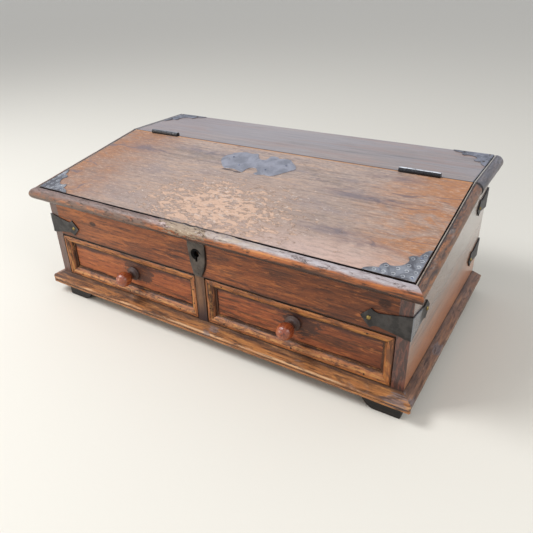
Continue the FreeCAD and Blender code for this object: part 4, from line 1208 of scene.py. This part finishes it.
def forge_strap(name, height):
    """A strap round the right front corner of the case, its middle at the given height."""
    corner = Vector((half_width, front, height))
    first, tall = strap_stations[0]
    here = corner + backward * first * MM
    piece = start_corner(name, here - upward * tall / 2 * MM)
    extrude(upward * tall * MM)
    take_all()
    for way, stations in ((backward, strap_stations[1:]), (-across, strap_stations[-2::-1])):
        for reach, wide in stations:
            there = corner + way * reach * MM
            extrude(there - here)
            bpy.ops.transform.resize(value=(1, 1, wide / tall), center_override=there)
            here, tall = there, wide
    take_all()
    bpy.ops.mesh.subdivide(number_cuts=4)
    take_all()
    bpy.ops.mesh.normals_make_consistent(inside=False)
    mode("OBJECT")
    outward = piece.data.polygons[0].normal.dot(across + forward)
    modify(piece, "SOLIDIFY", thickness=2.0 * MM, offset=1 if outward > 0 else -1,
           use_even_offset=True)
    round_edges(piece, 0.5 * MM, 2, 50)
    wear(piece, depth=0.35 * MM, size=9 * MM)
    return piece


# %% Place the six straps
def mirror(letter, middle):
    """Mirrors the piece in edit mode about a place, along one axis."""
    take_all()
    bpy.ops.transform.mirror(constraint_axis=tuple(letter == name for name in "XYZ"),
                             orient_type="GLOBAL", center_override=middle)


for kind in ("front_strap", "rear_upper_strap", "rear_lower_strap"):
    low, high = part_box(kind + "_right")
    strap = forge_strap(kind + "_forged_right", (low[2] + high[2]) / 2)
    if kind != "front_strap":
        mirror("Y", (0, (front + back) / 2, 0))
    finish_piece(strap, "case", "strap_iron", strap_iron, kind + "_right")
    fresh_start(strap)
    bpy.ops.object.duplicate(linked=False)
    other = bpy.context.object
    other.name = kind + "_forged_left"
    mode("EDIT")
    mirror("X", (0, 0, 0))
    finish_piece(other, "case", "strap_iron", strap_iron, kind + "_left")

# %% [markdown]
# ## The corner plates
# Thin sheet-iron plates cover the corners of the lid and of the fixed top. Their inner edge is
# cut in scallops, and a punch has left a row of small open rings along the edges. All four are
# drawn from one outline, pulled up a little and given a fine bevel. Each ring is a short strip
# that is spun most of the way round its middle.

# %% Outline and places of the rings
plate_outline = [(0, 0), (59.4, 0), (58.0, 3.2), ((51.0, 7.6), (43.0, 9.6)),
                 ((42.6, 16.0), (38.6, 20.4)), ((35.6, 18.6), (33.0, 17.2)),
                 ((21.8, 21.8), (17.2, 33.0)), ((18.6, 35.6), (20.4, 38.6)),
                 ((16.0, 42.6), (9.6, 43.0)), ((7.6, 51.0), (3.2, 58.0)), (0, 59.4)]
ring_places = [(5.0, 5.0), (14.5, 4.0), (25.0, 4.2), (36.0, 4.2), (46.5, 3.8), (4.0, 14.5),
               (4.2, 25.0), (4.2, 36.0), (3.8, 46.5), (36.6, 14.6), (14.6, 36.6), (23.5, 14.6),
               (14.6, 23.5), (13.6, 13.6)]


def cut_plate(name, start, along, inward, lift, outline):
    """A thin plate with its outline on one face, and a fine bevel round it."""
    piece = draw_outline(name, start, along, inward, outline, 12)
    pull(lift * 0.9 * MM)
    round_edges(piece, 0.3 * MM, 1)
    return piece


def ring_marks(name, start, along, inward, lift):
    """Small open rings: a short line is raised to a strip and spun most of the way round."""
    rings = []
    for number, (u, w) in enumerate(ring_places):
        centre = start + (along * u + inward * w) * MM + lift * 0.7 * MM
        rings.append(start_corner(f"{name}_{number}", centre + along * 2.5 * MM))
        extrude(-along * 0.8 * MM)
        take_all()
        extrude(lift * 0.35 * MM)
        take_all()
        bpy.ops.mesh.spin(steps=11, angle=math.radians(300), center=centre, axis=lift)
        mode("OBJECT")
    return join(rings, name)


# %% The four plates
plate_inset = 0.6 * MM
for side, hand in hands:
    x = side * (half_width - plate_inset)
    places = (("lid_plate", on_lid(x, plate_inset - lid_overhang, lid_thickness), up_slope,
               off_slope, "lid", plate_iron, mark_iron),
              ("top_plate", Vector((x, top_rear - plate_inset, top_surface)), forward, upward,
               "case", top_plate_iron, top_mark_iron))
    for kind, start, inward, lift, body, plain, bright_mark in places:
        plate = cut_plate(f"{kind}_cut_{hand}", start, -across * side, inward, lift, plate_outline)
        finish_piece(plate, body, "plate_iron", plain, f"{kind}_{hand}")
        marks = ring_marks(f"{kind}_rings_{hand}", start, -across * side, inward, lift)
        finish_piece(marks, body, "plate_iron", bright_mark)

# %% [markdown]
# ## The crest plate
# The plate in the middle of the lid was cut from thin sheet with a pair of snips: two lobes with
# a notch above and below, and an edge that is ragged everywhere. Its outline is walked round once
# from its left tip, in millimetres, so no two bites are alike.

# %% Cut the crest plate
crest_tip = (-68.7, 163.7)
crest_outline = [(-2.5, 7.1), (-0.6, 15.7), (5.9, 21.3), (7.1, 27.5), (13.7, 31.2), (21.3, 33.9),
                 (26.6, 35.5), (31.8, 33.7), (38.2, 33.2), (42.8, 35.7), (47.6, 36.1),
                 (51.7, 29.2), (58.4, 21.3), (65.3, 20.2), (70.4, 23), (70.8, 29.7), (71.8, 34.7),
                 (77.3, 36.1), (83.8, 35.2), (89, 31.2), (94, 33.5), (101.3, 34.1), (107.7, 33),
                 (114, 26.5), (118.8, 22.7), (124.4, 17.3), (128.3, 10.6), (127.1, 5.8),
                 (122.8, 2.3), (120.3, -2.6), (116.8, -5.8), (113.9, -9.8), (110.5, -15),
                 (106.2, -18.5), (101.6, -21.4), (96, -21), (90, -20), (85.2, -22.7),
                 (79.8, -24.5), (74.1, -22.4), (76.1, -18.7), (77.7, -15.1), (73.1, -10.4),
                 (69.5, -6.4), (63.7, -6.2), (58.7, -8.9), (56.3, -14), (56.4, -19.2),
                 (55.3, -22.7), (53.1, -24.4), (47.1, -22.3), (39.6, -19.6), (34.7, -19.1),
                 (28.4, -20.2), (21.2, -21.6), (14, -16.4), (7.6, -9.8), (0, 0)]
start = on_lid(crest_tip[0] * MM, crest_tip[1] * MM, lid_thickness)
crest = cut_plate("lid_crest_cut", start, across, up_slope, off_slope, crest_outline)
finish_piece(crest, "lid", "plate_iron", crest_iron, "lid_crest_plate")

# %% [markdown]
# ## The escutcheon
# The lock's shield is a thicker plate, wide at the top and drawn in to a narrow foot. Its edge is
# filed round, and the keyhole sits in a round dish where keys have searched for it. The dish and
# the hole are cut with two tools, a ball and a keyhole-shaped bar, as boolean modifiers.

# %% File the shield
(_, shield_front, shield_foot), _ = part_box("escutcheon")
shield_outline = [(-6.0, 0.5), ((-0.5, 0.0), (5.0, 0.5)), (6.6, 2.4), ((12.9, 19.0), (14.9, 38.0)),
                  ((15.0, 49.0), (13.0, 59.8)), (-12.2, 59.8), ((-14.6, 50.0), (-13.8, 40.0)),
                  ((-12.0, 20.0), (-7.6, 2.4))]
shield = draw_outline("escutcheon_filed", Vector((0, front, shield_foot)), across, upward,
                      shield_outline, 9)
pull(forward * (front - shield_front))
round_edges(shield, 0.9 * MM, 3)

# %% Cut its dish and keyhole
dish_radius, dish_depth = 7.4, 1.5
ball = (dish_radius ** 2 + dish_depth ** 2) / (2 * dish_depth) * MM
fresh_start()
dish_middle = (0, shield_front + dish_depth * MM - ball, keyhole.z)
bpy.ops.mesh.primitive_uv_sphere_add(segments=64, ring_count=48, radius=ball, location=dish_middle)
dish_tool = bpy.context.object
keyhole_outline = [(1.9, -4.2), (1.9, -11.0), (-1.9, -11.0), (-1.9, -4.2), ((0, 4.6), (1.9, -4.2))]
bar_tool = draw_outline("keyhole_tool", keyhole - forward * 2 * MM, across, upward,
                        keyhole_outline, 18)
pull(forward * 8 * MM)
take_all()
bpy.ops.mesh.normals_make_consistent(inside=False)
fresh_start()
bpy.context.view_layer.objects.active = shield
for tool in (dish_tool, bar_tool):
    modify(shield, "BOOLEAN", operation="DIFFERENCE", object=tool)
    bpy.data.objects.remove(tool)
finish_piece(shield, "case", "escutcheon_iron", escutcheon_iron, "escutcheon", corner=30)

# %% [markdown]
# ## Dressing the solid pieces
# A solid whose shape is right only needs its finish. Each finish goes into the piece's own
# material slot, by the part of the box that it belongs to.

# %% Give each solid its finish
finishes = (
    (back_wood, "bottom_board back_board"), (front_polish, "front_board"),
    (top_polish, "top_board"), (side_polish, "right_side left_side"),
    (stile_polish, "centre_stile"), (foot_stain, "foot"),
    (inside_wood, "compartment_floor drawer_stops drawer_back drawer_bottom"),
    (inside_wood_lengthways, "drawer_divider drawer_sides"), (drawer_polish, "drawer_front"),
    (frame_polish, "drawer_frame"), (knob_polish, "drawer_knob"), (lid_polish, "lid_panel"),
    (base_front_polish, "base_moulding_front"), (base_side_polish, "base_moulding"),
    (front_nosing_polish, "lid_moulding_front"), (side_nosing_polish, "lid_moulding"),
    (top_nosing_polish, "top_moulding"), (top_plate_iron, "top_plate"), (plate_iron, "lid_plate"),
    (crest_iron, "lid_crest_plate"), (pin_iron, "lid_plate_pins"), (hinge_iron, "hinge"),
    (escutcheon_iron, "escutcheon case_plate_pins"), (screw_steel, "lid_screws case_screws"),
    (strap_iron, "front_strap rear_upper_strap rear_lower_strap"), (nail_brass, "strap_nails"),
    (lock_iron, "lock_case lock_bolt lid_link_plate"))
finish_of = {start: polish for polish, starts in finishes for start in starts.split()}
for name, piece in nodes.items():
    # the longest entry that the piece's name starts with
    dress(piece, finish_of[max((start for start in finish_of if name.startswith(start)), key=len)])
print("dressed", len(nodes), "solid pieces")

# %% [markdown]
# ## The floor
# The box stands on a plain pale floor that runs out of sight.

# %% Lay the floor
fresh_start()
bpy.ops.mesh.primitive_plane_add(size=40, location=(0, 0, 0))
floor = bpy.context.object
floor.name = "floor"
begin("pale_floor", "e4e0d6", 0.8)
raise_by(noise((0.004, 0.004, 0.004)), 0.0001)
floor.data.materials.append(complete())
print("floor is", floor.dimensions.x, "m wide")
